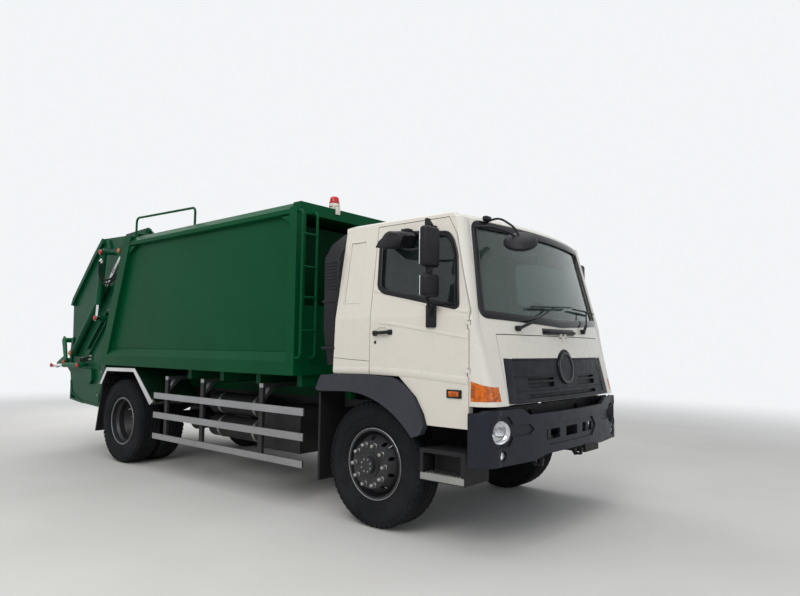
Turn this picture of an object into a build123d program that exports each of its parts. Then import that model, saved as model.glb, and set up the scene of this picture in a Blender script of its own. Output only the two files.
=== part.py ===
"""Rear-loading garbage truck: a four-wheel cab-over lorry with a compactor body.

Millimetres. +X is forward, +Y is the truck's left, +Z is up. The origin lies on the
ground below the middle of the truck. Places along the truck are given ahead of the
front axle, through the function ahead().
"""
import os
from math import cos, hypot, radians, sin

from build123d import *

os.makedirs("parts", exist_ok=True)

# Overall sizes
WHEELBASE = 4330
FRONT_OVERHANG = 1260
REAR_OVERHANG = 2450
OVERALL_LENGTH = FRONT_OVERHANG + WHEELBASE + REAR_OVERHANG
BODY_HALF_WIDTH = 1245
FRONT_AXLE = OVERALL_LENGTH / 2 - FRONT_OVERHANG
# Place of the rear axle, ahead of the front axle
REAR = -WHEELBASE

# Wheels and tyres
TYRE_RADIUS = 525
TYRE_WIDTH = 279
RIM_RADIUS = 286
FLANGE_RADIUS = 298
WELL_RADIUS = 262
RIM_HALF_WIDTH = 118
DISC_OFFSET = 165
DISC_THICKNESS = 12
HUB_PILOT_RADIUS = 110
STUD_CIRCLE_RADIUS = 167.5
STUD_COUNT = 10
FRONT_WHEEL_Y = 1025
REAR_WHEEL_Y = 917.5
TWIN_SPACING = 320
TYRE_SIDES = 40
DRUM_RADIUS = 205
SPINDLE_RADIUS = 38
RUNNING_FIT = 0.1
SEAT_GAP = 0.3
MOVING_GAP = 5

# Chassis
FRAME_TOP = 960
FRAME_DEPTH = 260
RAIL_OUTER_Y = 420
RAIL_FLANGE = 80
RAIL_WALL = 9
FRAME_REAR = REAR - 700
FRAME_FRONT = 1120
TOW_EYE = (1130, 590)
TOW_EYE_RADIUS = 22
KINGPIN_Y = 870
KINGPIN_RADIUS = 22
KINGPIN_BOSS_RADIUS = 42
FRONT_SPRING_Y = 380
REAR_SPRING_Y = 480

# Compactor body
FLOOR_BOTTOM = 1228
FLOOR_TOP = 1300
ROOF_TOP = 2905
BODY_FRONT = -950
POST_LENGTH = 110
WALL_OUTER_Y = BODY_HALF_WIDTH - 60
WALL_INNER_Y = BODY_HALF_WIDTH - 120
PARTING_FOOT = (REAR - 630, 1261)
PARTING_HEAD = (REAR - 88, 2877)
PARTING_GAP = 20

# Ejector cylinder: three sliding sections in a barrel
EJECT_AXIS_Z = 1600
CYLINDER_FRONT = -1060
STAGE_LENGTH = 870
BARREL_RADIUS = 75
STAGE_RADII = (62, 50, 38)

# Tailgate and its machinery, as places (ahead of the front axle, above the ground)
TAILGATE_HINGE = (REAR - 100, ROOF_TOP + 135)
TAILGATE_PIN_RADIUS = 22
SIDE_PLATE_Y = BODY_HALF_WIDTH - 195
SIDE_PLATE = 25
SLIDE_START = (REAR - 870, 1865)
SLIDE_DIRECTION = (-0.7306, -0.6828)
SLIDE_TRAVEL = 620
SLOT_HALF_HEIGHT = 42
HOPPER_RADIUS = 745
HOPPER_PLATE = 30
LIFT_PIN = (REAR - 1807, 1366)
LIFT_EYE = (REAR - 370, 2768)
LIFT_Y = SIDE_PLATE_Y + 50
LIFT_EAR_Y = LIFT_Y + 45
PRESS_PIN = (REAR - 760, 2775)
PRESS_Y = SIDE_PLATE_Y + 145
PRESS_EYE_HALF_WIDTH = 26
SWEEP_BASE = (REAR - 745, 2665)
SWEEP_LUG = (REAR - 1055, 1745)
SWEEP_Y = 600
BIN_PIVOT = (REAR - 2112, 1225)
BIN_LEVER = (REAR - 2405, 1172)
BIN_BASE = (REAR - 1443, 1198)
BIN_HOOK = (REAR - 2194, 1558)
BIN_CYLINDER_Y = SIDE_PLATE_Y + 100
BIN_ARM_Y = SIDE_PLATE_Y + 40
BASE_PIN_RADIUS = 22
SWEEP_PIN_RADIUS = 16
SWEEP_SHAFT_RADIUS = 36
HINGE_EAR_RADIUS = 44

# Cab
CAB_REAR = -458
CAB_HALF_WIDTH = 1205
CAB_BELT = 1750
CAB_TOP_HALF_WIDTH = 1105
CAB_SIDE_TOP = 2560
CAB_WALL = 60
DOOR_GAP = 6
DOOR_REAR = -10
DOOR_FRONT = 990
LID_HALF_WIDTH = 950
LID_BOTTOM = 1082
LID_TOP = 1612
GRILLE_TOP = 1430
GRILLE_HALF_WIDTH = 815
TILT_PIVOT = (1170, 905)
TILT_PIN_RADIUS = 16
TILT_ARM_Y = RAIL_OUTER_Y + MOVING_GAP

# Hinges of the doors and the front lid
DOOR_HINGE = (993, 1203)
DOOR_HINGE_HEIGHTS = (1290, 1650)
LID_HINGE = (1172, LID_TOP)
KNUCKLE_RADIUS = 8
KNUCKLE_LENGTH = 30
HINGE_PIN_RADIUS = 4


def ahead(distance):
    """X of a place that lies so far ahead of the front axle."""
    return FRONT_AXLE + distance


REAR_AXLE = ahead(-WHEELBASE)


def place(point, y):
    """Space point for a place on a side view, at the given Y."""
    return (ahead(point[0]), y, point[1])


def block(x, y, z, mode=Mode.ADD):
    """Box between two limits along each axis, X measured from the front axle."""
    x_low, x_high = sorted(ahead(value) for value in x)
    y_low, y_high = sorted(y)
    with BuildSketch(Plane.XY.offset(z[0])) as outline:
        with Locations(((x_low + x_high) / 2, (y_low + y_high) / 2)):
            Rectangle(x_high - x_low, y_high - y_low)
    extrude(outline.sketch, amount=z[1] - z[0], mode=mode)


def side_prism(outline, y, mode=Mode.ADD):
    """Prism of a side-view outline between two values of Y."""
    y_low, y_high = sorted(y)
    with BuildSketch(Plane.XZ.offset(-y_high)) as profile:
        with BuildLine():
            Polyline(*[(ahead(px), pz) for px, pz in outline], close=True)
        make_face()
    return extrude(profile.sketch, amount=y_high - y_low, mode=mode)


def front_prism(outline, x, mode=Mode.ADD):
    """Prism of a front-view outline between two places along the truck."""
    x_low, x_high = sorted(ahead(value) for value in x)
    with BuildSketch(Plane.YZ.offset(x_low)) as profile:
        with BuildLine():
            Polyline(*outline, close=True)
        make_face()
    return extrude(profile.sketch, amount=x_high - x_low, mode=mode)


def rod(start, end, radius, mode=Mode.ADD):
    """Round bar between two space points."""
    line = Vector(*end) - Vector(*start)
    with BuildSketch(Plane(origin=start, z_dir=line)) as profile:
        Circle(radius)
    extrude(profile.sketch, amount=line.length, mode=mode)


def cross_pin(point, radius, y, mode=Mode.ADD):
    """Round bar along Y at a place on the side view."""
    y_low, y_high = sorted(y)
    rod(place(point, y_low), place(point, y_high), radius, mode)


def bar(start, end, half_height, y, mode=Mode.ADD):
    """Flat bar on a side view, between two places, with square ends."""
    run = Vector(end[0] - start[0], end[1] - start[1])
    across = Vector(-run.Y, run.X).normalized() * half_height
    corners = [
        (start[0] + across.X, start[1] + across.Y),
        (end[0] + across.X, end[1] + across.Y),
        (end[0] - across.X, end[1] - across.Y),
        (start[0] - across.X, start[1] - across.Y),
    ]
    side_prism(corners, y, mode)


def between(start, end, share):
    """Place on a side view, a share of the way from start to end."""
    return (start[0] + (end[0] - start[0]) * share, start[1] + (end[1] - start[1]) * share)


def along(point, direction, distance):
    """Place on a side view, a distance from a point in a direction."""
    return (point[0] + direction[0] * distance, point[1] + direction[1] * distance)



def toward(start, end, distance):
    """Place on a side view, a distance from start on the way to end."""
    return between(start, end, distance / hypot(end[0] - start[0], end[1] - start[1]))


def parting_x(height):
    """Rear face of the compactor body at a height, ahead of the front axle."""
    slope = (PARTING_HEAD[0] - PARTING_FOOT[0]) / (PARTING_HEAD[1] - PARTING_FOOT[1])
    return PARTING_FOOT[0] + (height - PARTING_FOOT[1]) * slope


def save(part, name):
    """Label a finished piece and write its STEP file."""
    part.label = name
    export_step(part, f"parts/{name}.step")


# Wheels: a rim profile turned about the axle, then drilled
def wheel_plane(x, y, side):
    """Plane through a wheel's centre: sketch x points outward, sketch y up."""
    return Plane(origin=(x, y, TYRE_RADIUS), x_dir=(0, side, 0), z_dir=(side, 0, 0))


def rim(x, y, side, disc_side):
    """One steel rim, its disc set off towards disc_side."""
    centre = wheel_plane(x, y, side * disc_side)
    axle = Axis(centre.origin, centre.x_dir)
    with BuildSketch(centre) as profile:
        with BuildLine():
            Polyline(
                (-RIM_HALF_WIDTH, FLANGE_RADIUS),
                (-RIM_HALF_WIDTH + 12, FLANGE_RADIUS),
                (-RIM_HALF_WIDTH + 12, RIM_RADIUS),
                (-60, RIM_RADIUS - 4),
                (-30, WELL_RADIUS),
                (50, WELL_RADIUS),
                (80, RIM_RADIUS - 4),
                (RIM_HALF_WIDTH - 12, RIM_RADIUS),
                (RIM_HALF_WIDTH - 12, FLANGE_RADIUS),
                (RIM_HALF_WIDTH, FLANGE_RADIUS),
                (RIM_HALF_WIDTH, RIM_RADIUS - 12),
                (86, RIM_RADIUS - 16),
                (58, WELL_RADIUS - 10),
                (DISC_OFFSET - 70, 236),
                (DISC_OFFSET, 196),
                (DISC_OFFSET, HUB_PILOT_RADIUS - 20),
                (DISC_OFFSET - DISC_THICKNESS, HUB_PILOT_RADIUS - 20),
                (DISC_OFFSET - DISC_THICKNESS, 190),
                (DISC_OFFSET - 80, 226),
                (30, WELL_RADIUS - 10),
                (-38, WELL_RADIUS - 10),
                (-68, RIM_RADIUS - 16),
                (-RIM_HALF_WIDTH, RIM_RADIUS - 12),
                close=True,
            )
        make_face()
    revolve(profile.sketch, axis=axle)


def hand_holes(x, y, side, count):
    """Cooling holes through the sloping part of a disc."""
    plane = Plane(origin=(x, y, TYRE_RADIUS), x_dir=(1, 0, 0), z_dir=(0, side, 0))
    with BuildSketch(plane.offset(DISC_OFFSET - 90)) as holes:
        with PolarLocations(215, count, start_angle=180 / count):
            Circle(17)
    extrude(holes.sketch, amount=110, mode=Mode.SUBTRACT)


def hub(x, side, y_inner, y_outer, radius, cap_y, cap_radius):
    """Turning hub with its end cap."""
    rod((x, side * y_inner, TYRE_RADIUS), (x, side * y_outer, TYRE_RADIUS), radius)
    rod((x, side * y_outer, TYRE_RADIUS), (x, side * cap_y, TYRE_RADIUS), cap_radius)


def wheel_nuts(x, y, side):
    """Ring of nuts on the disc face."""
    plane = Plane(origin=(x, y, TYRE_RADIUS), x_dir=(1, 0, 0), z_dir=(0, side, 0))
    with BuildSketch(plane) as nuts:
        with PolarLocations(STUD_CIRCLE_RADIUS, STUD_COUNT):
            RegularPolygon(17, 6)
    extrude(nuts.sketch, amount=26)


def facet_ring(x, y, side, sections, mode=Mode.ADD):
    """Many-sided ring body on an axle: sections give the place outward and the radius to the flats."""
    outlines = []
    for outward, apothem in sections:
        plane = Plane(origin=(x, y + side * outward, TYRE_RADIUS), x_dir=(1, 0, 0), z_dir=(0, side, 0))
        with BuildSketch(plane) as outline:
            RegularPolygon(apothem, TYRE_SIDES, major_radius=False, rotation=180 / TYRE_SIDES)
        outlines.append(outline.sketch)
    loft(outlines, ruled=True, mode=mode)


def tyre(x, y, side):
    """One tyre, faceted, with a flat on the ground; its beads sit inside the rim's flanges."""
    half = TYRE_WIDTH / 2
    bead = RIM_HALF_WIDTH - 12
    shoulder = [
        # place outward, radius to the flats
        (half - 50, TYRE_RADIUS), (half - 22, TYRE_RADIUS - 8), (half - 6, 470), (half, 400),
    ]
    crown = [(-outward, apothem) for outward, apothem in shoulder[::-1]] + shoulder
    facet_ring(x, y, side, crown)
    for end in (1, -1):
        facet_ring(x, y, side, [(end * bead, FLANGE_RADIUS), (end * half, 400)], Mode.SUBTRACT)
    facet_ring(x, y, side, [(-bead, RIM_RADIUS), (bead, RIM_RADIUS)], Mode.SUBTRACT)


for side_name, side in (("left", 1), ("right", -1)):
    disc_face = FRONT_WHEEL_Y + DISC_OFFSET
    with BuildPart() as front_rim:
        rim(FRONT_AXLE, side * FRONT_WHEEL_Y, side, 1)
        hand_holes(FRONT_AXLE, side * FRONT_WHEEL_Y, side, STUD_COUNT)
        hub(FRONT_AXLE, side, 990, disc_face + 10, HUB_PILOT_RADIUS - 10, disc_face + 48, 70)
        rod(
            (FRONT_AXLE, side * 990, TYRE_RADIUS),
            (FRONT_AXLE, side * 1100, TYRE_RADIUS),
            DRUM_RADIUS,
        )
        rod(
            (FRONT_AXLE, side * 1100, TYRE_RADIUS),
            (FRONT_AXLE, side * (disc_face - DISC_THICKNESS), TYRE_RADIUS),
            HUB_PILOT_RADIUS + 45,
        )
        wheel_nuts(FRONT_AXLE, side * disc_face, side)
        rod(
            (FRONT_AXLE, side * 985, TYRE_RADIUS),
            (FRONT_AXLE, side * (1150 + RUNNING_FIT), TYRE_RADIUS),
            SPINDLE_RADIUS + RUNNING_FIT,
            Mode.SUBTRACT,
        )
    save(front_rim.part, f"wheel_front_{side_name}")

    with BuildPart() as front_tyre:
        tyre(FRONT_AXLE, side * FRONT_WHEEL_Y, side)
    save(front_tyre.part, f"tyre_front_{side_name}")

    outer_y = REAR_WHEEL_Y + TWIN_SPACING / 2
    inner_y = REAR_WHEEL_Y - TWIN_SPACING / 2
    with BuildPart() as rear_rim:
        rim(REAR_AXLE, side * outer_y, side, -1)
        rim(REAR_AXLE, side * inner_y, side, 1)
        hub(REAR_AXLE, side, 640, 1000, HUB_PILOT_RADIUS - 10, 1035, 92)
        rod(
            (REAR_AXLE, side * 640, TYRE_RADIUS),
            (REAR_AXLE, side * 860, TYRE_RADIUS),
            DRUM_RADIUS,
        )
        rod(
            (REAR_AXLE, side * 860, TYRE_RADIUS),
            (REAR_AXLE, side * REAR_WHEEL_Y, TYRE_RADIUS),
            HUB_PILOT_RADIUS + 45,
        )
        wheel_nuts(REAR_AXLE, side * (outer_y - DISC_OFFSET + DISC_THICKNESS), side)
        rod(
            (REAR_AXLE, side * 630, TYRE_RADIUS),
            (REAR_AXLE, side * (880 + RUNNING_FIT), TYRE_RADIUS),
            SPINDLE_RADIUS + RUNNING_FIT,
            Mode.SUBTRACT,
        )
    save(rear_rim.part, f"wheel_rear_{side_name}")

    with BuildPart() as rear_tyre:
        tyre(REAR_AXLE, side * outer_y, side)
        tyre(REAR_AXLE, side * inner_y, side)
    save(rear_tyre.part, f"tyre_rear_{side_name}")

    # Steering knuckle: fork round the beam's eye, kingpin, spindle and steering arm
    with BuildPart() as knuckle:
        block((-45, 45), (side * 922, side * 965), (400, 655))
        block((-45, 45), (side * (KINGPIN_Y - 45), side * 922), (400, 434))
        block((-45, 45), (side * (KINGPIN_Y - 45), side * 922), (616, 655))
        rod(
            (FRONT_AXLE, side * KINGPIN_Y, 400),
            (FRONT_AXLE, side * KINGPIN_Y, 655),
            KINGPIN_RADIUS,
        )
        rod(
            (FRONT_AXLE, side * 965, TYRE_RADIUS),
            (FRONT_AXLE, side * 980, TYRE_RADIUS),
            DRUM_RADIUS - 10,
        )
        rod(
            (FRONT_AXLE, side * 965, TYRE_RADIUS),
            (FRONT_AXLE, side * 1150, TYRE_RADIUS),
            SPINDLE_RADIUS,
        )
        side_prism(
            [(-40, 400), (-200, 410), (-200, 430), (-40, 434)],
            (side * (KINGPIN_Y - 45), side * (KINGPIN_Y + 5)),
        )
    save(knuckle.part, f"knuckle_{side_name}")


# Chassis
def rail_profile(side):
    """Front view of a channel rail, open towards the middle of the truck."""
    outer = RAIL_OUTER_Y
    inner = RAIL_OUTER_Y - RAIL_FLANGE
    web = RAIL_WEB_Y
    low = FRAME_TOP - FRAME_DEPTH
    points = [
        (inner, low),
        (outer, low),
        (outer, FRAME_TOP),
        (inner, FRAME_TOP),
        (inner, FRAME_TOP - RAIL_WALL),
        (web, FRAME_TOP - RAIL_WALL),
        (web, low + RAIL_WALL),
        (inner, low + RAIL_WALL),
    ]
    return [(side * py, pz) for py, pz in points]


RAIL_WEB_Y = RAIL_OUTER_Y - RAIL_WALL
CROSSMEMBERS = (
    # place, half width: the first sits between the tilt brackets, the others between the rails' webs
    (1060, RAIL_OUTER_Y - 25 - SEAT_GAP),
    (-1090, RAIL_WEB_Y - SEAT_GAP),
    (-2150, RAIL_WEB_Y - SEAT_GAP),
    (REAR + 880, RAIL_WEB_Y - SEAT_GAP),
    (REAR + 130, RAIL_WEB_Y - SEAT_GAP),
    (REAR - 620, RAIL_WEB_Y - SEAT_GAP),
)
SPRING_HANGERS = (
    # place, y, half length, y half width
    (820, FRONT_SPRING_Y, 45, 40),
    (-820, FRONT_SPRING_Y, 45, 40),
)
with BuildPart() as chassis_frame:
    for side in (1, -1):
        front_prism(rail_profile(side), (FRAME_REAR, FRAME_FRONT))
        for hanger_x, hanger_y, half_length, half_width in SPRING_HANGERS:
            block(
                (hanger_x - half_length, hanger_x + half_length),
                (side * (hanger_y - half_width), side * (hanger_y + half_width)),
                (590, FRAME_TOP - FRAME_DEPTH),
            )
        for hanger_x in (REAR + 700, REAR - 700):
            block(
                (hanger_x - 45, hanger_x + 45),
                (side * RAIL_OUTER_Y, side * (REAR_SPRING_Y + 45)),
                (790 + SEAT_GAP, FRAME_TOP - 40),
            )
        # Bracket and pin of the cab's tilt pivot, and the rest under the back of the cab
        side_prism(
            [(1060, 720), (1060, FRAME_TOP), (1150, 945), (1195, 925), (1195, 885), (1150, 760)],
            (side * (RAIL_OUTER_Y - 25), side * RAIL_OUTER_Y),
        )
        cross_pin(TILT_PIVOT, TILT_PIN_RADIUS, (side * (RAIL_OUTER_Y - 25), side * (TILT_ARM_Y + 40)))
        block((-440, -360), (side * 350, side * 410), (FRAME_TOP, 1180 - SEAT_GAP))
        # Towing eye under the rail's front end
        side_prism(
            [(1030, 700), (1120, 700), (1175, 610), (1165, 555), (1100, 545), (1030, 650)],
            (side * 365, side * 395),
        )
        cross_pin(TOW_EYE, TOW_EYE_RADIUS, (side * 360, side * 400), Mode.SUBTRACT)
    for cross_x, half_width in CROSSMEMBERS:
        block((cross_x - 45, cross_x + 45), (-half_width, half_width), (850, 940))
save(chassis_frame.part, "chassis_frame")


def leaf_spring(x, y, width, seat_z, eye_z, half_length, thickness):
    """Stack of leaves on an axle seat, thick in the middle, its ends bent up to the eyes."""
    rise = eye_z - seat_z
    top = [
        (x - half_length, eye_z + thickness),
        (x - half_length / 2, seat_z + rise / 4 + thickness),
        (x, seat_z + thickness),
        (x + half_length / 2, seat_z + rise / 4 + thickness),
        (x + half_length, eye_z + thickness),
    ]
    bottom = [
        (x + half_length, eye_z + thickness - 22),
        (x + half_length * 0.66, eye_z - rise / 2 + thickness - 40),
        (x + 110, seat_z),
        (x - 110, seat_z),
        (x - half_length * 0.66, eye_z - rise / 2 + thickness - 40),
        (x - half_length, eye_z + thickness - 22),
    ]
    side_prism(top + bottom, (y - width / 2, y + width / 2))


with BuildPart() as suspension:
    # Dropped front beam with an eye for each kingpin
    front_prism(
        [
            (-KINGPIN_Y, 450), (-KINGPIN_Y, 600), (-760, 560), (-600, 480), (600, 480),
            (760, 560), (KINGPIN_Y, 600), (KINGPIN_Y, 450), (760, 440), (600, 380), (-600, 380), (-760, 440),
        ],
        (-40, 40),
    )
    for side in (1, -1):
        rod(
            (FRONT_AXLE, side * KINGPIN_Y, 436),
            (FRONT_AXLE, side * KINGPIN_Y, 614),
            KINGPIN_BOSS_RADIUS,
        )
        rod(
            (FRONT_AXLE, side * KINGPIN_Y, 430),
            (FRONT_AXLE, side * KINGPIN_Y, 620),
            KINGPIN_RADIUS + RUNNING_FIT,
            Mode.SUBTRACT,
        )
        leaf_spring(0, side * FRONT_SPRING_Y, 75, 480, 500, 865, 90)
        leaf_spring(-WHEELBASE, side * REAR_SPRING_Y, 85, 600, 670, 700, 120)
        block(
            (-WHEELBASE - 70, -WHEELBASE + 70),
            (side * (REAR_SPRING_Y - 50), side * (REAR_SPRING_Y + 50)),
            (TYRE_RADIUS + 40, 625),
        )
    # Rear axle tube, differential bowl and pinion nose
    rod((REAR_AXLE, -625, TYRE_RADIUS), (REAR_AXLE, 625, TYRE_RADIUS), 75)
    rod((REAR_AXLE, -880, TYRE_RADIUS), (REAR_AXLE, 880, TYRE_RADIUS), SPINDLE_RADIUS)
    rod((REAR_AXLE, -120, TYRE_RADIUS), (REAR_AXLE, 120, TYRE_RADIUS), 200)
    rod((REAR_AXLE, 0, TYRE_RADIUS), (REAR_AXLE + 330, 0, TYRE_RADIUS + 20), 95)
save(suspension.part, "suspension")

with BuildPart() as driveline:
    block((-420, 700), (-320, 320), (560, 1120))
    block((-1000, -420), (-210, 210), (600, 1000))
    rod((ahead(-1000), 0, 780), (REAR_AXLE + 331.5, 0, TYRE_RADIUS + 20), 55)
    for side in (1, -1):
        block((80, 200), (side * 320, side * (RAIL_OUTER_Y - RAIL_WALL)), (760, 820))
save(driveline.part, "driveline")

with BuildPart() as frame_equipment:
    block((-2500, -1250), (RAIL_OUTER_Y, 1080), (430, 900))
    block((-1650, -1050), (-RAIL_OUTER_Y, -1050), (470, 880))
    for tank_z in (560, 830):
        rod((ahead(-2950), -700, tank_z), (ahead(-1950), -700, tank_z), 125)
    block((-2600, -2300), (-RAIL_OUTER_Y, -700), (520, 870))
save(frame_equipment.part, "frame_equipment")

# Side guards, mudguards and flaps
GUARD_RAILS = ((860, 930), (630, 700), (385, 450))
GUARD_POSTS = (-3300, -2550, -1500)
GUARD_OUTER_Y = BODY_HALF_WIDTH - 40
GUARD_ARM_Z = 1090
with BuildPart() as side_guards:
    for side in (1, -1):
        for low, high in GUARD_RAILS:
            block((REAR + 780, -840), (side * (GUARD_OUTER_Y - 20), side * GUARD_OUTER_Y), (low, high))
        for post_x in GUARD_POSTS:
            post_side = (post_x - 30, post_x + 30)
            post_y = GUARD_OUTER_Y - 50
            block(post_side, (side * post_y, side * (GUARD_OUTER_Y - 20)), (385, GUARD_ARM_Z))
            # Arm over the post's top, with a diagonal strut beside the post
            arm = [
                (RAIL_OUTER_Y, GUARD_ARM_Z + SEAT_GAP), (post_y - 130, GUARD_ARM_Z + SEAT_GAP),
                (post_y - SEAT_GAP, 960), (post_y - SEAT_GAP, 1000), (post_y - 60, GUARD_ARM_Z + SEAT_GAP),
                (GUARD_OUTER_Y - 20, GUARD_ARM_Z + SEAT_GAP), (GUARD_OUTER_Y - 20, GUARD_ARM_Z + 40),
                (RAIL_OUTER_Y, GUARD_ARM_Z + 40),
            ]
            front_prism([(side * py, pz) for py, pz in arm], post_side)
save(side_guards.part, "side_guards")

MUDGUARD_OUTER = [(REAR - 603, 980), (REAR - 430, 1195), (REAR + 340, 1205), (REAR + 815, 818)]
MUDGUARD_INNER = [(REAR + 740, 778), (REAR + 310, 1160), (REAR - 410, 1150), (REAR - 550, 965)]
with BuildPart() as rear_mudguards:
    for side in (1, -1):
        side_prism(MUDGUARD_OUTER + MUDGUARD_INNER, (side * 600, side * (BODY_HALF_WIDTH - 10)))
        for bracket_x in (REAR - 270, REAR, REAR + 270):
            block((bracket_x - 35, bracket_x + 35), (side * RAIL_OUTER_Y, side * 600), (1090, 1195))
save(rear_mudguards.part, "rear_mudguards")

STEP_PLAN = [(612, 900), (612, 1010), (552, 1225), (976, 1225), (976, 900)]
with BuildPart() as steps_and_flaps:
    for side in (1, -1):
        with BuildSketch(Plane.XY.offset(490)) as step_plan:
            with BuildLine():
                Polyline(*[(ahead(px), side * py) for px, py in STEP_PLAN], close=True)
            make_face()
        extrude(step_plan.sketch, amount=242)
        # Foothold above the tread
        block((585, 935), (side * 1080, side * 1230), (545, 700), Mode.SUBTRACT)
        block((700, 780), (side * RAIL_OUTER_Y, side * 900), (702, 732))
        block((-645, -620), (side * 880, side * 1190), (310, 1095))
        block((-645, -620), (side * RAIL_OUTER_Y, side * 880), (880, 940))
        side_prism(
            [
                (REAR - 603, 980 - SEAT_GAP), (REAR - 586, 975 - SEAT_GAP),
                (REAR - 730, 330), (REAR - 750, 330),
            ],
            (side * 640, side * 1200),
        )
save(steps_and_flaps.part, "steps_and_flaps")

# Bumper: a thick skin curved in plan, open behind, with lamp sockets and slots
BUMPER_BOTTOM = 640
BUMPER_TOP = 995
BUMPER_END_TOP = 1050
BUMPER_BEVEL = ((1185, 1), (1212, -19), (1245, -23), (1245, 1))
LAMP_RADIUS = 91.5
FOG_LAMP = (1039, 715)
FOG_RADIUS = 38
# Front-view outlines: half of the middle panel, a lamp's octagon, the channel between them
BUMPER_RECESSES = (
    [(0, 735), (430, 735), (520, 820), (430, 905), (0, 905)],
    [(925, 830), (965, 780), (1125, 775), (1180, 830), (1180, 950), (1135, 1005), (975, 1000), (925, 950)],
    [(640, 885), (700, 845), (926, 845), (926, 935), (700, 925)],
)


def lamp_place(side, share):
    """Place on a headlamp's axis, a share of the way through the bumper's corner."""
    return (ahead(1000 + 300 * share), side * (950 + 174 * share), 885)


def bumper_plan(nose, corner, shoulder, bend, end_x):
    """Plan of one face of the bumper: a bowed front, round corners and straight ends."""
    ThreePointArc((ahead(corner[0]), -corner[1]), (ahead(nose), 0), (ahead(corner[0]), corner[1]))
    for side in (1, -1):
        ThreePointArc(
            (ahead(corner[0]), side * corner[1]),
            (ahead(shoulder[0]), side * shoulder[1]),
            (ahead(bend[0]), side * bend[1]),
        )
        Line((ahead(bend[0]), side * bend[1]), (ahead(end_x), side * bend[1]))


with BuildPart() as bumper:
    with BuildSketch(Plane.XY.offset(BUMPER_BOTTOM)) as plan:
        with BuildLine():
            bumper_plan(1260, (1185, 1060), (1148, 1192), (1062, 1240), 1005)
            bumper_plan(1225, (1150, 1050), (1121, 1168), (1062, 1215), 1005)
            for side in (1, -1):
                Line((ahead(1005), side * 1240), (ahead(1005), side * 1215))
        make_face()
    extrude(plan.sketch, amount=BUMPER_END_TOP - BUMPER_BOTTOM)
    # The top edge is lower between the lamps
    front_prism(
        [(-900, 1100), (-700, BUMPER_TOP), (700, BUMPER_TOP), (900, 1100)],
        (1000, 1300),
        Mode.SUBTRACT,
    )
    front_prism(
        [
            (-700, BUMPER_BOTTOM - 10), (-450, BUMPER_BOTTOM + 32),
            (450, BUMPER_BOTTOM + 32), (700, BUMPER_BOTTOM - 10),
        ],
        (1000, 1300),
        Mode.SUBTRACT,
    )
    for side in (1, -1):
        front_prism(
            [(side * py, BUMPER_END_TOP + rise) for py, rise in BUMPER_BEVEL],
            (1000, 1300),
            Mode.SUBTRACT,
        )
    # Recesses of the middle panel and round the lamps, cut into the outer surface
    with BuildSketch(Plane.XY.offset(BUMPER_BOTTOM)) as skin_plan:
        with BuildLine():
            bumper_plan(1290, (1215, 1075), (1176, 1215), (1075, 1275), 1005)
            bumper_plan(1248, (1173, 1056), (1139, 1184), (1062, 1232), 1005)
            for side in (1, -1):
                Line((ahead(1005), side * 1275), (ahead(1005), side * 1232))
        make_face()
    skin = extrude(skin_plan.sketch, amount=BUMPER_END_TOP - BUMPER_BOTTOM, mode=Mode.PRIVATE)
    for recess in BUMPER_RECESSES:
        for side in (1, -1):
            outline = [(side * py, pz) for py, pz in recess]
            add(skin & front_prism(outline, (1020, 1300), Mode.PRIVATE), mode=Mode.SUBTRACT)
    for slot_y in (-330, 0, 330):
        block((1100, 1300), (slot_y - 110, slot_y + 110), (780, 860), Mode.SUBTRACT)
    for side in (1, -1):
        rod(lamp_place(side, 0), lamp_place(side, 1), LAMP_RADIUS + 0.5, Mode.SUBTRACT)
        fog_y, fog_z = side * FOG_LAMP[0], FOG_LAMP[1]
        rod((ahead(1000), fog_y, fog_z), (ahead(1300), fog_y, fog_z), FOG_RADIUS + 0.3, Mode.SUBTRACT)
    for side in (1, -1):
        block((1120, 1222), (side * 345, side * (RAIL_OUTER_Y - 25)), (760, 920))
save(bumper.part, "bumper")

with BuildPart() as headlamps:
    for side in (1, -1):
        rod(lamp_place(side, 0.3), lamp_place(side, 0.56), LAMP_RADIUS)
        fog_y = side * FOG_LAMP[0]
        rod((ahead(1120), fog_y, FOG_LAMP[1]), (ahead(1175), fog_y, FOG_LAMP[1]), FOG_RADIUS)
save(headlamps.part, "headlamps")

# Compactor body
BEARERS = (
    # place, half width: short over the rear wheels
    (-1010, 1110), (-1650, 1110), (-2290, 1110), (-2930, 1110),
    (REAR + 760, 590), (REAR + 120, 590), (REAR - 390, 590),
)
with BuildPart() as body_floor:
    side_prism(
        [
            (BODY_FRONT, FLOOR_BOTTOM), (BODY_FRONT, FLOOR_TOP),
            (parting_x(FLOOR_TOP) + 180, FLOOR_TOP), (parting_x(FLOOR_BOTTOM) + 180, FLOOR_BOTTOM),
        ],
        (-WALL_INNER_Y, WALL_INNER_Y),
    )
    for side in (1, -1):
        block((FRAME_REAR + 60, -1000), (side * 345, side * RAIL_OUTER_Y), (FRAME_TOP, 1120))
    for bearer_x, half_width in BEARERS:
        block((bearer_x - 35, bearer_x + 35), (-half_width, half_width), (1120, FLOOR_BOTTOM))
save(body_floor.part, "body_floor")


def wall_section(side):
    """Front view of a side wall: skirt, recessed panel and overhanging top rail."""
    points = [
        (WALL_INNER_Y, FLOOR_BOTTOM), (BODY_HALF_WIDTH, FLOOR_BOTTOM), (BODY_HALF_WIDTH, 1361),
        (WALL_OUTER_Y, 1455), (WALL_OUTER_Y, 2770), (1240, 2790), (1240, 2835),
        (1170, ROOF_TOP), (WALL_INNER_Y, ROOF_TOP),
    ]
    return [(side * py, pz) for py, pz in points]


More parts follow.
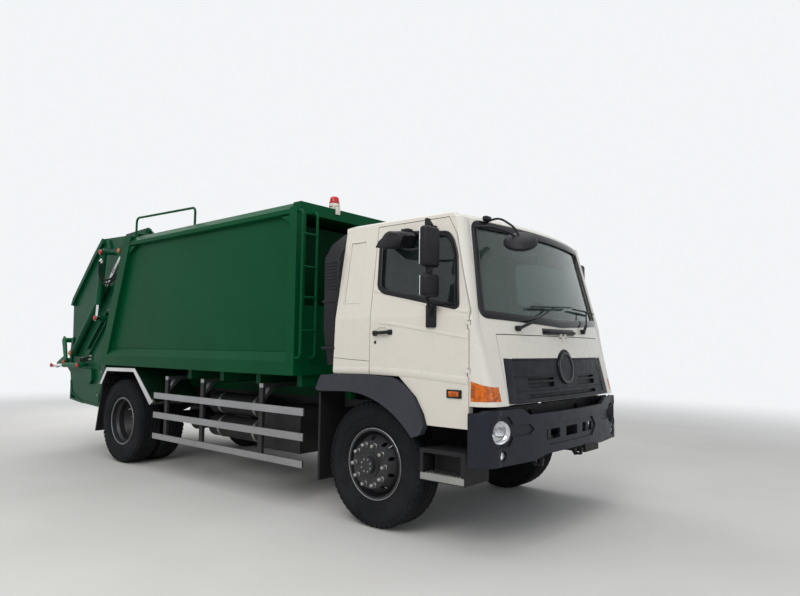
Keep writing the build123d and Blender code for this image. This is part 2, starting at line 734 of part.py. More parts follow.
REAR_FRAME_DEPTH = 180
REAR_CUT = [
    (parting_x(1000) + REAR_FRAME_DEPTH, 1000), (parting_x(3200) + REAR_FRAME_DEPTH, 3200),
    (REAR - 1670, 3200), (REAR - 1670, 1000),
]
with BuildPart() as body_sides:
    for side in (1, -1):
        front_prism(wall_section(side), (REAR - 870, BODY_FRONT - POST_LENGTH))
    side_prism(REAR_CUT, (-1400, 1400), Mode.SUBTRACT)
save(body_sides.part, "body_sides")

with BuildPart() as body_roof:
    front_prism(
        [
            (-WALL_INNER_Y, ROOF_TOP - 45), (-WALL_INNER_Y, ROOF_TOP), (0, ROOF_TOP + 20),
            (WALL_INNER_Y, ROOF_TOP), (WALL_INNER_Y, ROOF_TOP - 45), (0, ROOF_TOP - 25),
        ],
        (REAR - 670, BODY_FRONT - POST_LENGTH),
    )
    side_prism(REAR_CUT, (-1400, 1400), Mode.SUBTRACT)
save(body_roof.part, "body_roof")

with BuildPart() as body_front_frame:
    front_x = (BODY_FRONT - POST_LENGTH, BODY_FRONT)
    for side in (1, -1):
        block(front_x, (side * WALL_INNER_Y, side * BODY_HALF_WIDTH), (FLOOR_BOTTOM, 2850))
    block(front_x, (-1200, 1200), (2790, ROOF_TOP))
    block(front_x, (-WALL_INNER_Y, WALL_INNER_Y), (FLOOR_TOP, 1900))
    barrel_start = (ahead(CYLINDER_FRONT), 0, EJECT_AXIS_Z)
    barrel_end = (ahead(CYLINDER_FRONT - STAGE_LENGTH), 0, EJECT_AXIS_Z)
    rod(barrel_start, barrel_end, BARREL_RADIUS)
    rod(barrel_start, barrel_end, STAGE_RADII[0] + RUNNING_FIT, Mode.SUBTRACT)
save(body_front_frame.part, "body_front_frame")


def parting_band(offset, depth, low, high):
    """Side view of a band that follows the slanted rear face of the body."""
    return [
        (parting_x(low) + offset, low), (parting_x(high) + offset, high),
        (parting_x(high) + offset + depth, high), (parting_x(low) + offset + depth, low),
    ]


with BuildPart() as body_rear_frame:
    for side in (1, -1):
        side_prism(
            parting_band(0, REAR_FRAME_DEPTH, FLOOR_BOTTOM, ROOF_TOP),
            (side * 1090, side * BODY_HALF_WIDTH),
        )
        # Ears for the tailgate's hinge pins
        hinge_x, hinge_z = TAILGATE_HINGE
        side_prism(
            [
                (hinge_x + 195, ROOF_TOP), (hinge_x + 45, ROOF_TOP), (hinge_x + 40, hinge_z - 40),
                (hinge_x, hinge_z - HINGE_EAR_RADIUS), (hinge_x, hinge_z + HINGE_EAR_RADIUS),
                (hinge_x + 190, hinge_z - 80),
            ],
            (side * 880, side * 905),
        )
        cross_pin(TAILGATE_HINGE, HINGE_EAR_RADIUS, (side * 880, side * 905))
        cross_pin(TAILGATE_HINGE, TAILGATE_PIN_RADIUS, (side * 880, side * 950))
        # Ears beside the eyes of the tailgate's lift cylinders
        side_prism(
            [
                (LIFT_EYE[0] - 50, LIFT_EYE[1] - 50), (LIFT_EYE[0] - 50, LIFT_EYE[1] + 50),
                (parting_x(LIFT_EYE[1] + 90) + 10, LIFT_EYE[1] + 90),
                (parting_x(LIFT_EYE[1] - 150) + 10, LIFT_EYE[1] - 150),
            ],
            (side * LIFT_EAR_Y, side * (LIFT_EAR_Y + 25)),
        )
    side_prism(parting_band(0, REAR_FRAME_DEPTH, 2800, ROOF_TOP), (-1090, 1090))
    side_prism(parting_band(0, REAR_FRAME_DEPTH, FLOOR_BOTTOM, FLOOR_TOP), (-1090, 1090))
save(body_rear_frame.part, "body_rear_frame")

LADDER_RUNGS = (2578, 2262, 1970, 1653)
LADDER_RAILS = (20 - BODY_HALF_WIDTH, 200 - BODY_HALF_WIDTH)
HANDRAIL_Y = 105 - BODY_HALF_WIDTH
with BuildPart() as ladder:
    for rail_y in LADDER_RAILS:
        with BuildLine() as rail_path:
            FilletPolyline(
                place((BODY_FRONT, 1395), rail_y), place((-880, 1395), rail_y),
                place((-880, 2805), rail_y), place((BODY_FRONT, 2805), rail_y),
                radius=45,
            )
        with BuildSketch(Plane(origin=rail_path.line @ 0, z_dir=rail_path.line % 0)):
            Circle(14)
        sweep(path=rail_path.line)
    for rung_z in LADDER_RUNGS:
        rod(place((-880, rung_z), LADDER_RAILS[0]), place((-880, rung_z), LADDER_RAILS[1]), 12)
    # Handrail along the roof's right edge
    with BuildLine() as handrail:
        FilletPolyline(
            place((REAR + 30, ROOF_TOP), HANDRAIL_Y), place((REAR + 30, ROOF_TOP + 265), HANDRAIL_Y),
            place((-2900, ROOF_TOP + 215), HANDRAIL_Y), place((-2900, ROOF_TOP), HANDRAIL_Y),
            radius=60,
        )
    with BuildSketch(Plane(origin=handrail.line @ 0, z_dir=handrail.line % 0)):
        Circle(14)
    sweep(path=handrail.line)
save(ladder.part, "ladder")

with BuildPart() as beacon:
    block((-1040, -960), (-750, -670), (ROOF_TOP, 2950))
    rod((ahead(-1000), -710, 2950), (ahead(-1000), -710, 3040), 55)
save(beacon.part, "beacon")

# Ejector plate in the body, with its telescopic cylinder
EJECTOR_FOOT = -2150


def ejector_x(height):
    """Rear face of the ejector plate at a height."""
    return parting_x(height) - parting_x(FLOOR_TOP) + EJECTOR_FOOT


with BuildPart() as ejector:
    low = FLOOR_TOP + 12
    high = 2830
    side_prism(
        [
            (ejector_x(low), low), (ejector_x(high), high), (ejector_x(high) + 60, high),
            (ejector_x(low) + 60, low),
        ],
        (-1085, 1085),
    )
    for shoe_y in (-1000, 1000):
        block(
            (ejector_x(low) + 30, ejector_x(low) + 330),
            (shoe_y - 40, shoe_y + 40),
            (FLOOR_TOP + SEAT_GAP, low + 50),
        )
    for rib_y in (-700, 700):
        side_prism(
            [(ejector_x(low) + 60, low), (ejector_x(2500) + 60, 2500), (ejector_x(2500) + 160, 2500),
             (ejector_x(low) + 700, low + 100), (ejector_x(low) + 700, low)],
            (rib_y - 30, rib_y + 30),
        )
    rod(
        (ahead(ejector_x(EJECT_AXIS_Z) + 30), 0, EJECT_AXIS_Z),
        (ahead(CYLINDER_FRONT - 45), 0, EJECT_AXIS_Z),
        STAGE_RADII[2],
    )
save(ejector.part, "ejector")

for stage, shift in ((1, 15), (2, 30)):
    with BuildPart() as eject_stage:
        start_x = ahead(CYLINDER_FRONT - shift)
        end_x = ahead(CYLINDER_FRONT - STAGE_LENGTH - shift)
        rod((start_x, 0, EJECT_AXIS_Z), (end_x, 0, EJECT_AXIS_Z), STAGE_RADII[stage - 1])
        rod(
            (start_x, 0, EJECT_AXIS_Z),
            (end_x, 0, EJECT_AXIS_Z),
            STAGE_RADII[stage] + RUNNING_FIT,
            Mode.SUBTRACT,
        )
    save(eject_stage.part, f"eject_stage_{stage}")

# Tailgate
SLIDE_END = (
    SLIDE_START[0] + SLIDE_DIRECTION[0] * SLIDE_TRAVEL,
    SLIDE_START[1] + SLIDE_DIRECTION[1] * SLIDE_TRAVEL,
)
ROOF_FRONT = (parting_x(2985) - PARTING_GAP, 2985)
ROOF_REAR = (REAR - 1072, 3020)
# Depth of the front post's upper part, which the lift rods pass
POST_EDGE = 16
HOOD_TOP = (REAR - 1310, 2815)
HOOD_BEND = (REAR - 1950, 2194)
HOOD_FOOT = (REAR - 2008, 2089)
MOUTH_TOP = (REAR - 1975, 1559)
LIP = (REAR - 2030, 1145)
FOOT_REAR = (REAR - 1964, 930)
SIDE_OUTLINE = [
    ROOF_FRONT, ROOF_REAR, HOOD_TOP, HOOD_BEND, HOOD_FOOT, MOUTH_TOP, LIP, FOOT_REAR,
    (REAR - 1870, 760), (REAR - 1577, 644), (REAR - 955, 616), (parting_x(640) - PARTING_GAP, 640),
]


def hopper_point(angle, radius):
    """Point of the hopper's arc; the angle runs from straight down towards the front."""
    return (
        SLIDE_END[0] + radius * sin(radians(angle)),
        SLIDE_END[1] - radius * cos(radians(angle)),
    )


with BuildPart() as tailgate:
    for side in (1, -1):
        side_prism(SIDE_OUTLINE, (side * (SIDE_PLATE_Y - SIDE_PLATE), side * SIDE_PLATE_Y))
        # Slot for the carriage's pin
        slot_y = (side * (SIDE_PLATE_Y - 40), side * (SIDE_PLATE_Y + 10))
        slot_end = along(SLIDE_END, SLIDE_DIRECTION, 10)
        bar(SLIDE_START, slot_end, SLOT_HALF_HEIGHT, slot_y, Mode.SUBTRACT)
        for end in (SLIDE_START, slot_end):
            cross_pin(end, SLOT_HALF_HEIGHT, slot_y, Mode.SUBTRACT)
        # Front frame post
        for low, high, depth in ((700, 2270, 90), (2270, 2985, POST_EDGE)):
            side_prism(
                parting_band(-PARTING_GAP - 130, 130, low, high),
                (side * SIDE_PLATE_Y, side * (SIDE_PLATE_Y + depth)),
            )
        # Edge flange of the hood, and the flanges along the carriage's slot
        side_prism(
            [
                ROOF_REAR, HOOD_TOP, HOOD_BEND, HOOD_FOOT,
                (REAR - 1945, 2078), (REAR - 1892, 2163), (REAR - 1270, 2760), (REAR - 1055, 2950),
            ],
            (side * SIDE_PLATE_Y, side * (SIDE_PLATE_Y + 45)),
        )
        for offset in (SLOT_HALF_HEIGHT + 12, -SLOT_HALF_HEIGHT - 12):
            across = (SLIDE_DIRECTION[1], -SLIDE_DIRECTION[0])
            bar(
                along(along(SLIDE_START, across, offset), SLIDE_DIRECTION, -60),
                along(along(slot_end, across, offset), SLIDE_DIRECTION, 60),
                8,
                (side * SIDE_PLATE_Y, side * (SIDE_PLATE_Y + 35)),
            )
    inner = SIDE_PLATE_Y - SIDE_PLATE
    side_prism(
        [ROOF_FRONT, ROOF_REAR, HOOD_TOP, HOOD_BEND, HOOD_FOOT,
         (REAR - 1978, 2085), (REAR - 1922, 2180), (REAR - 1295, 2785), (REAR - 1065, 2985),
         (ROOF_FRONT[0] - 10, 2950)],
        (-inner, inner),
    )
    arc_ends = (-67.5, 44)
    outer_radius = HOPPER_RADIUS + HOPPER_PLATE
    with BuildSketch(Plane.XZ.offset(-inner)) as trough:
        with BuildLine():
            angles = (arc_ends[0], -10, arc_ends[1])
            inner_arc = [place(hopper_point(angle, HOPPER_RADIUS), 0)[::2] for angle in angles]
            outer_arc = [place(hopper_point(angle, outer_radius), 0)[::2] for angle in angles]
            ThreePointArc(*inner_arc)
            Line(inner_arc[2], outer_arc[2])
            ThreePointArc(*outer_arc[::-1])
            Line(outer_arc[0], inner_arc[0])
        make_face()
    extrude(trough.sketch, amount=2 * inner)
    # Front sheet below the opening, lip tube and rear skirt
    side_prism(parting_band(-PARTING_GAP - 40, 40, 700, 1285), (-inner, inner))
    cross_pin((LIP[0] + 10, LIP[1] + 15), 30, (-inner, inner))
    for sheet in (
        [(REAR - 2005, 1140), (REAR - 2042, 1140), (REAR - 2042, 672), (REAR - 2005, 669)],
        [(REAR - 2042, 702), (REAR - 2042, 672), (REAR - 1577, 630), (REAR - 1577, 660)],
    ):
        side_prism(sheet, (-inner, inner))
    # Hinge arms to the pins above the body's roof
    for side in (1, -1):
        side_prism(
            [
                (TAILGATE_HINGE[0] + 45, TAILGATE_HINGE[1] + 45), (REAR - 670, TAILGATE_HINGE[1] + 20),
                (REAR - 670, 2960), (TAILGATE_HINGE[0] - 60, TAILGATE_HINGE[1] - 80),
                (TAILGATE_HINGE[0] + 45, TAILGATE_HINGE[1] - 45),
            ],
            (side * 910, side * 940),
        )
        cross_pin(
            TAILGATE_HINGE, TAILGATE_PIN_RADIUS + RUNNING_FIT, (side * 905, side * 945), Mode.SUBTRACT
        )
        # Pins that carry the cylinders and the bin lifter
        cross_pin(LIFT_PIN, BASE_PIN_RADIUS, (side * SIDE_PLATE_Y, side * (LIFT_Y + 50)))
        cross_pin(PRESS_PIN, BASE_PIN_RADIUS, (side * SIDE_PLATE_Y, side * (PRESS_Y + 46)))
        cross_pin(BIN_BASE, BASE_PIN_RADIUS, (side * SIDE_PLATE_Y, side * (BIN_CYLINDER_Y + 38)))
        cross_pin(BIN_PIVOT, BASE_PIN_RADIUS, (side * SIDE_PLATE_Y, side * (BIN_ARM_Y + 20)))
        side_prism([(REAR - 1960, 1300), (REAR - 2160, 1280), (REAR - 2160, 1170), (REAR - 1970, 1050)],
                   (side * (SIDE_PLATE_Y - SIDE_PLATE), side * SIDE_PLATE_Y))
save(tailgate.part, "tailgate")

# Carriage and sweeping blade
PANEL_TOP = (SLIDE_START[0] + 285, SLIDE_START[1] + 850)
with BuildPart() as carriage:
    bar(between(SLIDE_START, PANEL_TOP, 0.1), PANEL_TOP, 35, (-1000, 1000))
    for side in (1, -1):
        # Shaft of the sweeping blade, which also rides in the tailgate's slot
        cross_pin(SLIDE_START, SWEEP_SHAFT_RADIUS, (side * 850, side * 1000))
        cross_pin(
            SLIDE_START,
            SLOT_HALF_HEIGHT - SEAT_GAP,
            (side * 1000, side * (PRESS_Y - PRESS_EYE_HALF_WIDTH - SEAT_GAP)),
        )
        bar(SLIDE_START, between(SLIDE_START, PANEL_TOP, 0.4), 60, (side * 940, side * 1000))
        bar(
            between(SLIDE_START, PANEL_TOP, 0.92), SWEEP_BASE, 40,
            (side * (SWEEP_Y + 45), side * (SWEEP_Y + 70)),
        )
        cross_pin(SWEEP_BASE, SWEEP_PIN_RADIUS, (side * (SWEEP_Y - 34), side * (SWEEP_Y + 45)))
save(carriage.part, "carriage")

with BuildPart() as sweeper:
    side_prism(
        [
            (SLIDE_START[0] - 45, SLIDE_START[1] + 40), (SLIDE_START[0] + 40, SLIDE_START[1] + 40),
            (SLIDE_START[0] + 60, SLIDE_START[1] - 300), (SLIDE_START[0] + 120, SLIDE_START[1] - 680),
            (SLIDE_START[0] + 70, SLIDE_START[1] - 690), (SLIDE_START[0] - 20, SLIDE_START[1] - 420),
            (SLIDE_START[0] - 70, SLIDE_START[1] - 200),
        ],
        (-930, 930),
    )
    cross_pin(SLIDE_START, SWEEP_SHAFT_RADIUS + 24, (-930, 930))
    for side in (1, -1):
        cross_pin(SLIDE_START, SWEEP_SHAFT_RADIUS + RUNNING_FIT, (side * 845, side * 935), Mode.SUBTRACT)
        bar(
            (SLIDE_START[0] - 20, SLIDE_START[1] - 150), SWEEP_LUG, 35,
            (side * (SWEEP_Y + 45), side * (SWEEP_Y + 70)),
        )
save(sweeper.part, "sweeper")


# Cylinders: one barrel and one rod for each side, paired in a node
def cylinder_pair(name, base, eye, y, radii, barrel_length, retraction, pin_radius, eye_y):
    """Barrels bored for their pins, and rods whose eyes reach between two values of Y."""
    barrel_radius, rod_radius = radii
    bore_start = barrel_radius + 25
    half_width = barrel_radius - 5
    with BuildPart() as barrels:
        for side in (1, -1):
            rod(place(base, side * y), place(toward(base, eye, barrel_length), side * y), barrel_radius)
            cross_pin(base, barrel_radius + 8, (side * (y - half_width), side * (y + half_width)))
            rod(
                place(toward(base, eye, bore_start), side * y),
                place(toward(base, eye, barrel_length + 20), side * y),
                rod_radius + RUNNING_FIT,
                Mode.SUBTRACT,
            )
            cross_pin(
                base, pin_radius + RUNNING_FIT, (side * (y - 2 * half_width), side * (y + 2 * half_width)),
                Mode.SUBTRACT,
            )
    save(barrels.part, f"{name}_barrels")
    rod_start = toward(base, eye, bore_start + 5 + retraction)
    with BuildPart() as rods:
        for side in (1, -1):
            rod(place(rod_start, side * y), place(eye, side * y), rod_radius)
            cross_pin(eye, rod_radius + 14, (side * eye_y[0], side * eye_y[1]))
    save(rods.part, f"{name}_rods")


CYLINDERS = (
    # name, base, eye, y, barrel and rod radius, barrel length, how far the rod can slide in,
    # pin radius, eye's limits in y
    ("lift", LIFT_PIN, LIFT_EYE, LIFT_Y, (46, 28), 1365, 0, BASE_PIN_RADIUS,
     (LIFT_Y - 28, LIFT_EAR_Y - SEAT_GAP)),
    ("press", PRESS_PIN, SLIDE_START, PRESS_Y, (42, 26), 733, 0, BASE_PIN_RADIUS,
     (PRESS_Y - PRESS_EYE_HALF_WIDTH, PRESS_Y + PRESS_EYE_HALF_WIDTH)),
    ("sweep", SWEEP_BASE, SWEEP_LUG, SWEEP_Y, (36, 22), 640, 270, SWEEP_PIN_RADIUS,
     (SWEEP_Y - 26, SWEEP_Y + 45 - SEAT_GAP)),
    ("bin", BIN_BASE, BIN_LEVER, BIN_CYLINDER_Y, (34, 20), 565, 360, BASE_PIN_RADIUS,
     (BIN_ARM_Y + 10 + SEAT_GAP, BIN_CYLINDER_Y + 20)),
)
for cylinder in CYLINDERS:
    cylinder_pair(*cylinder)

with BuildPart() as bin_lifter:
    for side in (1, -1):
        side_prism(
            [
                (BIN_PIVOT[0] + 45, BIN_PIVOT[1] - 40), (BIN_PIVOT[0] + 50, BIN_PIVOT[1] + 60),
                (BIN_HOOK[0] + 60, BIN_HOOK[1]), (BIN_HOOK[0], BIN_HOOK[1] + 60),
                (BIN_HOOK[0] - 55, BIN_HOOK[1]), (BIN_PIVOT[0] - 50, BIN_PIVOT[1] + 90),
                (BIN_LEVER[0], BIN_LEVER[1] + 40), (BIN_LEVER[0] - 45, BIN_LEVER[1]),
                (BIN_LEVER[0], BIN_LEVER[1] - 40), (BIN_PIVOT[0] - 40, BIN_PIVOT[1] - 50),
            ],
            (side * (BIN_ARM_Y - 15), side * (BIN_ARM_Y + 10)),
        )
        cross_pin(
            BIN_PIVOT, BASE_PIN_RADIUS + RUNNING_FIT, (side * SIDE_PLATE_Y, side * (BIN_ARM_Y + 20)),
            Mode.SUBTRACT,
        )
    cross_pin(BIN_HOOK, 36, (-BIN_ARM_Y, BIN_ARM_Y))
save(bin_lifter.part, "bin_lifter")


# Cab
def cab_back(height):
    """Back of the cab, which leans forward a little, ahead of the front axle."""
    return CAB_REAR + 60 * (height - 1230) / (2545 - 1230)


def side_line(inset):
    """Outer line of the cab's side on a front view, moved in by an inset."""
    return [
        (CAB_HALF_WIDTH - inset, 880), (CAB_HALF_WIDTH - inset, CAB_BELT),
        (CAB_TOP_HALF_WIDTH - inset, CAB_SIDE_TOP),
    ]


def side_panel(side, outline, outer_inset=0, inner_inset=CAB_WALL, mode=Mode.ADD):
    """Panel of a side-view outline that follows the cab's leaning side."""
    section = side_line(outer_inset) + side_line(inner_inset)[::-1]
    xs = [px for px, pz in outline]
    slab = front_prism([(side * py, pz) for py, pz in section], (min(xs) - 1, max(xs) + 1), Mode.PRIVATE)
    cutter = side_prism(outline, (side * 900, side * 1300), Mode.PRIVATE)
    add(slab & cutter, mode=mode)


def front_section(z, back_x, corner, face, nose_x, bulge, inset, wall):
    """Plan of the cab's front wall at a height: side returns, rounded corners and a bowed face."""
    points = []
    for depth in (inset, inset + wall):
        points.append(
            [
                (ahead(back_x), corner[1] - depth),
                (ahead(corner[0] - depth * 0.4), corner[1] - depth),
                (ahead(face[0] - depth), face[1] - depth * 0.4),
                (ahead(nose_x - depth), 0),
            ]
        )
    with BuildSketch(Plane.XY.offset(z)) as section:
        with BuildLine():
            for back, bend, edge, nose in points:
                ThreePointArc((edge[0], -edge[1]), nose, edge)
                round_point = ((edge[0] + bend[0]) / 2 + bulge, (edge[1] + bend[1]) / 2 + bulge)
                for side in (1, -1):
                    ThreePointArc(
                        (edge[0], side * edge[1]), (round_point[0], side * round_point[1]),
                        (bend[0], side * bend[1]),
                    )
                    Line((bend[0], side * bend[1]), (back[0], side * back[1]))
            for side in (1, -1):
                Line((points[0][0][0], side * points[0][0][1]), (points[1][0][0], side * points[1][0][1]))
        make_face()
    return section.sketch


def lower_front(inset, wall):
    """Front wall from the bumper up to the belt."""
    sections = [
        front_section(1076, 960, (1030, 1205), (1180, 1060), 1225, 28, inset, wall),
        front_section(1700, 960, (1004, 1205), (1020, 1100), 1160, 10, inset, wall),
    ]
    return loft(sections, ruled=True, mode=Mode.PRIVATE)


def upper_front(inset, wall):
    """Front wall from the belt up to the roof."""
    sections = [
        front_section(1700, 960, (1004, 1205), (1020, 1100), 1160, 10, inset, wall),
        front_section(CAB_SIDE_TOP, 720, (800, 1105), (838, 985), 955, 14, inset, wall),
    ]
    return loft(sections, ruled=True, mode=Mode.PRIVATE)


DOOR_OUTLINE = [
    (DOOR_REAR, 1283), (DOOR_REAR, 2545), (735, 2545), (822, 2400), (DOOR_FRONT, 1780),
    (DOOR_FRONT, 905), (605, 905), (577, 988), (496, 1116), (337, 1251), (300, 1283),
]
WINDOW_OUTLINE = [
    (39, 2365), (57, 2018), (115, 1973), (880, 1815), (835, 2230), (790, 2350), (735, 2412),
    (94, 2480), (50, 2440),
]
DOOR_OPENING = [
    (DOOR_REAR - DOOR_GAP, 850), (DOOR_REAR - DOOR_GAP, 2551), (738, 2551), (828, 2403),
    (DOOR_FRONT + DOOR_GAP, 1781), (DOOR_FRONT + DOOR_GAP, 850),
]
SCREEN_OUTLINE = [(-1062, 1768), (0, 1722), (1062, 1768), (945, 2505), (-945, 2505)]
LID_OUTLINE = [
    (-LID_HALF_WIDTH, LID_BOTTOM), (LID_HALF_WIDTH, LID_BOTTOM),
    (LID_HALF_WIDTH, LID_TOP), (-LID_HALF_WIDTH, LID_TOP),
]
LID_OPENING = [
    (-LID_HALF_WIDTH - DOOR_GAP, 1070), (LID_HALF_WIDTH + DOOR_GAP, 1070),
    (LID_HALF_WIDTH + DOOR_GAP, LID_TOP + DOOR_GAP), (-LID_HALF_WIDTH - DOOR_GAP, LID_TOP + DOOR_GAP),
]
GRILLE_OUTLINE = [
    (-GRILLE_HALF_WIDTH - 35, 1098), (GRILLE_HALF_WIDTH + 35, 1098),
    (GRILLE_HALF_WIDTH, GRILLE_TOP), (-GRILLE_HALF_WIDTH, GRILLE_TOP),
]
GRILLE_OVAL = (0, 1345)
LAMP_OUTLINE = [(1008, 1112), (1008, 1262), (1090, 1235), (1230, 1190), (1230, 1112)]



def grille_prism(mode):
    """Prism of the grille's outline, which humps over the oval in its middle."""
    with BuildSketch(Plane.YZ.offset(ahead(900))) as outline:
        with BuildLine():
            Polyline(*GRILLE_OUTLINE, close=True)
        make_face()
        with Locations(GRILLE_OVAL):
            Ellipse(165, 160)
    return extrude(outline.sketch, amount=400, mode=mode)


def knuckle(point, length, radius, mode=Mode.ADD):
    """Upright hinge tube that starts at a space point."""
    rod(point, (point[0], point[1], point[2] + length), radius, mode)


with BuildPart() as cab_sides:
    for side in (1, -1):
        side_panel(
            side,
            [
                (cab_back(2545), 2545), (cab_back(1290), 1290), (-445, 1275),
                (DOOR_REAR - DOOR_GAP, 1275), (DOOR_REAR - DOOR_GAP, 2545),
            ],
        )
        side_panel(side, [(-351, 1890), (-153, 1890), (-153, 2440), (-331, 2440)], -20, 6, Mode.SUBTRACT)
save(cab_sides.part, "cab_sides")

with BuildPart() as cab_rear:
    back_wall = side_prism(
        [
            (cab_back(1230), 1230), (cab_back(2545), 2545),
            (cab_back(2545) + CAB_WALL, 2545), (cab_back(1230) + CAB_WALL, 1230),
        ],
        (-1200, 1200),
        Mode.PRIVATE,
    )
    inner_side = side_line(CAB_WALL)
    mirrored_side = [(-py, pz) for py, pz in inner_side[::-1]]
    add(back_wall & front_prism(inner_side + mirrored_side, (-500, 0), Mode.PRIVATE))
save(cab_rear.part, "cab_rear")

with BuildPart() as cab_roof:
    roof_plans = []
    for plan_z, plan_back, plan_side, plan_face, plan_nose in (
        (2545, -405, 1107, (838, 985), 955),
        (2580, -405, 1100, (800, 975), 920),
        (2612, -370, 1020, (700, 900), 800),
    ):
        with BuildSketch(Plane.XY.offset(plan_z)) as roof_plan:
            with BuildLine():
                face_x, face_y = ahead(plan_face[0]), plan_face[1]
                ThreePointArc((face_x, -face_y), (ahead(plan_nose), 0), (face_x, face_y))
                for side in (1, -1):
                    Line((face_x, side * face_y), (face_x - 38, side * plan_side))
                    Line((face_x - 38, side * plan_side), (ahead(plan_back), side * plan_side))
                Line((ahead(plan_back), -plan_side), (ahead(plan_back), plan_side))
            make_face()
        roof_plans.append(roof_plan.sketch)
    loft(roof_plans[:2], ruled=True)
    loft(roof_plans[1:], ruled=True)
    side_prism(DOOR_OPENING, (-1200, -1000), Mode.SUBTRACT)
    side_prism(DOOR_OPENING, (1000, 1200), Mode.SUBTRACT)
save(cab_roof.part, "cab_roof")

with BuildPart() as cab_floor:
    block((CAB_REAR, 925), (-1130, 1130), (1180, 1230))
    block((925, 950), (-1130, 1130), (1180, 1700))
    # Arms down to the tilt pivot
    for side in (1, -1):
        arm_y = (side * TILT_ARM_Y, side * (TILT_ARM_Y + 35))
        side_prism([(700, 1180), (900, 1180), (1160, 940), (1160, 870), (1080, 870), (780, 1110)], arm_y)
        cross_pin(TILT_PIVOT, 35, arm_y)
        cross_pin(TILT_PIVOT, TILT_PIN_RADIUS + RUNNING_FIT, arm_y, Mode.SUBTRACT)
save(cab_floor.part, "cab_floor")

with BuildPart() as corner_lamps:
    lamp_shape = lower_front(0, 24)
    for side in (1, -1):
        lamp_side = side_prism(LAMP_OUTLINE, (side * 1040, side * 1300), Mode.PRIVATE)
        add(lamp_shape & lamp_side)
save(corner_lamps.part, "corner_lamps")

with BuildPart() as cab_front:
    add(lower_front(0, CAB_WALL))
    add(upper_front(0, CAB_WALL))
    front_prism(SCREEN_OUTLINE, (800, 1300), Mode.SUBTRACT)
    front_prism(LID_OPENING, (900, 1300), Mode.SUBTRACT)
    for side in (1, -1):
        side_prism(DOOR_OPENING, (side * 1030, side * 1300), Mode.SUBTRACT)
        side_prism(LAMP_OUTLINE, (side * 1040, side * 1300), Mode.SUBTRACT)
    side_prism([(600, 2545), (1000, 2545), (1000, 2700), (600, 2700)], (-1300, 1300), Mode.SUBTRACT)
    # Hinges: a lower knuckle and pin at each door hinge, and two knuckles above the front lid
    hinge_x, hinge_y = DOOR_HINGE
    for side in (1, -1):
        for low in DOOR_HINGE_HEIGHTS:
            upper = low + KNUCKLE_LENGTH
            block(
                (996, hinge_x + KNUCKLE_RADIUS + MOVING_GAP), (side * (hinge_y - 15), side * (hinge_y + 20)),
                (upper, upper + KNUCKLE_LENGTH + MOVING_GAP), Mode.SUBTRACT,
            )
            knuckle((ahead(hinge_x), side * hinge_y, low), KNUCKLE_LENGTH, KNUCKLE_RADIUS)
            knuckle((ahead(hinge_x), side * hinge_y, low), 2 * KNUCKLE_LENGTH, HINGE_PIN_RADIUS)
    block((1150, 1200), (-20 - SEAT_GAP, 20 + SEAT_GAP), (LID_TOP - 20, LID_TOP + 12), Mode.SUBTRACT)
    cross_pin(LID_HINGE, HINGE_PIN_RADIUS, (-60, 60))
    for side in (1, -1):
        knuckle_y = (side * (20 + SEAT_GAP), side * 60)
        cross_pin(LID_HINGE, KNUCKLE_RADIUS, knuckle_y)
        block((LID_HINGE[0] - 6, LID_HINGE[0] + 6), knuckle_y, (LID_TOP, LID_TOP + 38))
save(cab_front.part, "cab_front")

with BuildPart() as cab_glass:
    add(upper_front(14, 8) & front_prism(SCREEN_OUTLINE, (800, 1300), Mode.PRIVATE))
save(cab_glass.part, "cab_glass")

with BuildPart() as front_lid:
    add(lower_front(0, 32) & front_prism(LID_OUTLINE, (900, 1300), Mode.PRIVATE))
    grille_prism(Mode.SUBTRACT)
    # Notch round the cab's knuckles, and the lid's own knuckle in its middle
    block((1100, 1300), (-66, 66), (LID_TOP - 14, LID_TOP + 28), Mode.SUBTRACT)
    cross_pin(LID_HINGE, KNUCKLE_RADIUS, (-20, 20))
    block((LID_HINGE[0] - 6, LID_HINGE[0] + 6), (-20, 20), (LID_TOP - 40, LID_TOP))
    cross_pin(LID_HINGE, HINGE_PIN_RADIUS + RUNNING_FIT, (-25, 25), Mode.SUBTRACT)
save(front_lid.part, "front_lid")

GRILLE_SLOTS = (
    # limits of y, limits of z
    ((-640, 640), (1116, 1146)),
    ((230, 640), (1196, 1236)), ((-640, -230), (1196, 1236)),
    ((230, 640), (1252, 1272)), ((-640, -230), (1252, 1272)),
)
with BuildPart() as grille:
    add(lower_front(6, 26) & grille_prism(Mode.PRIVATE))
    for slot_y, slot_z in GRILLE_SLOTS:
        block((1120, 1300), slot_y, slot_z, Mode.SUBTRACT)
    # Bare oval in the middle
    with BuildSketch(Plane.YZ.offset(ahead(1100))) as oval:
        with Locations(GRILLE_OVAL):
            Ellipse(125, 122)
    add(lower_front(-4, 34) & extrude(oval.sketch, amount=200, mode=Mode.PRIVATE))
save(grille.part, "grille")

FLARE_TOP = ((-293, 1121), (-600, 1112), (-640, 1125), (-575, 1250), (-380, 1268), (-46, 1272), (230, 1262))
with BuildPart() as wheel_arches:
    for side in (1, -1):
        with BuildSketch(Plane.XZ.offset(-max(side * 1180, side * 1245))) as flare:
            with BuildLine():
                Polyline(*[(ahead(px), pz) for px, pz in FLARE_TOP])
                ThreePointArc((ahead(230), 1262), (ahead(458), 1137), (ahead(590), 885))
                Polyline((ahead(590), 885), (ahead(560), 830), (ahead(480), 800))
                ThreePointArc((ahead(480), 800), (ahead(165), 1035), (ahead(-293), 1121))
            make_face()
        extrude(flare.sketch, amount=65)
        block((-560, 250), (side * 700, side * 1180), (1128, 1150))
        block((-380, 250), (side * 700, side * 1120), (1150, 1180))
save(wheel_arches.part, "wheel_arches")

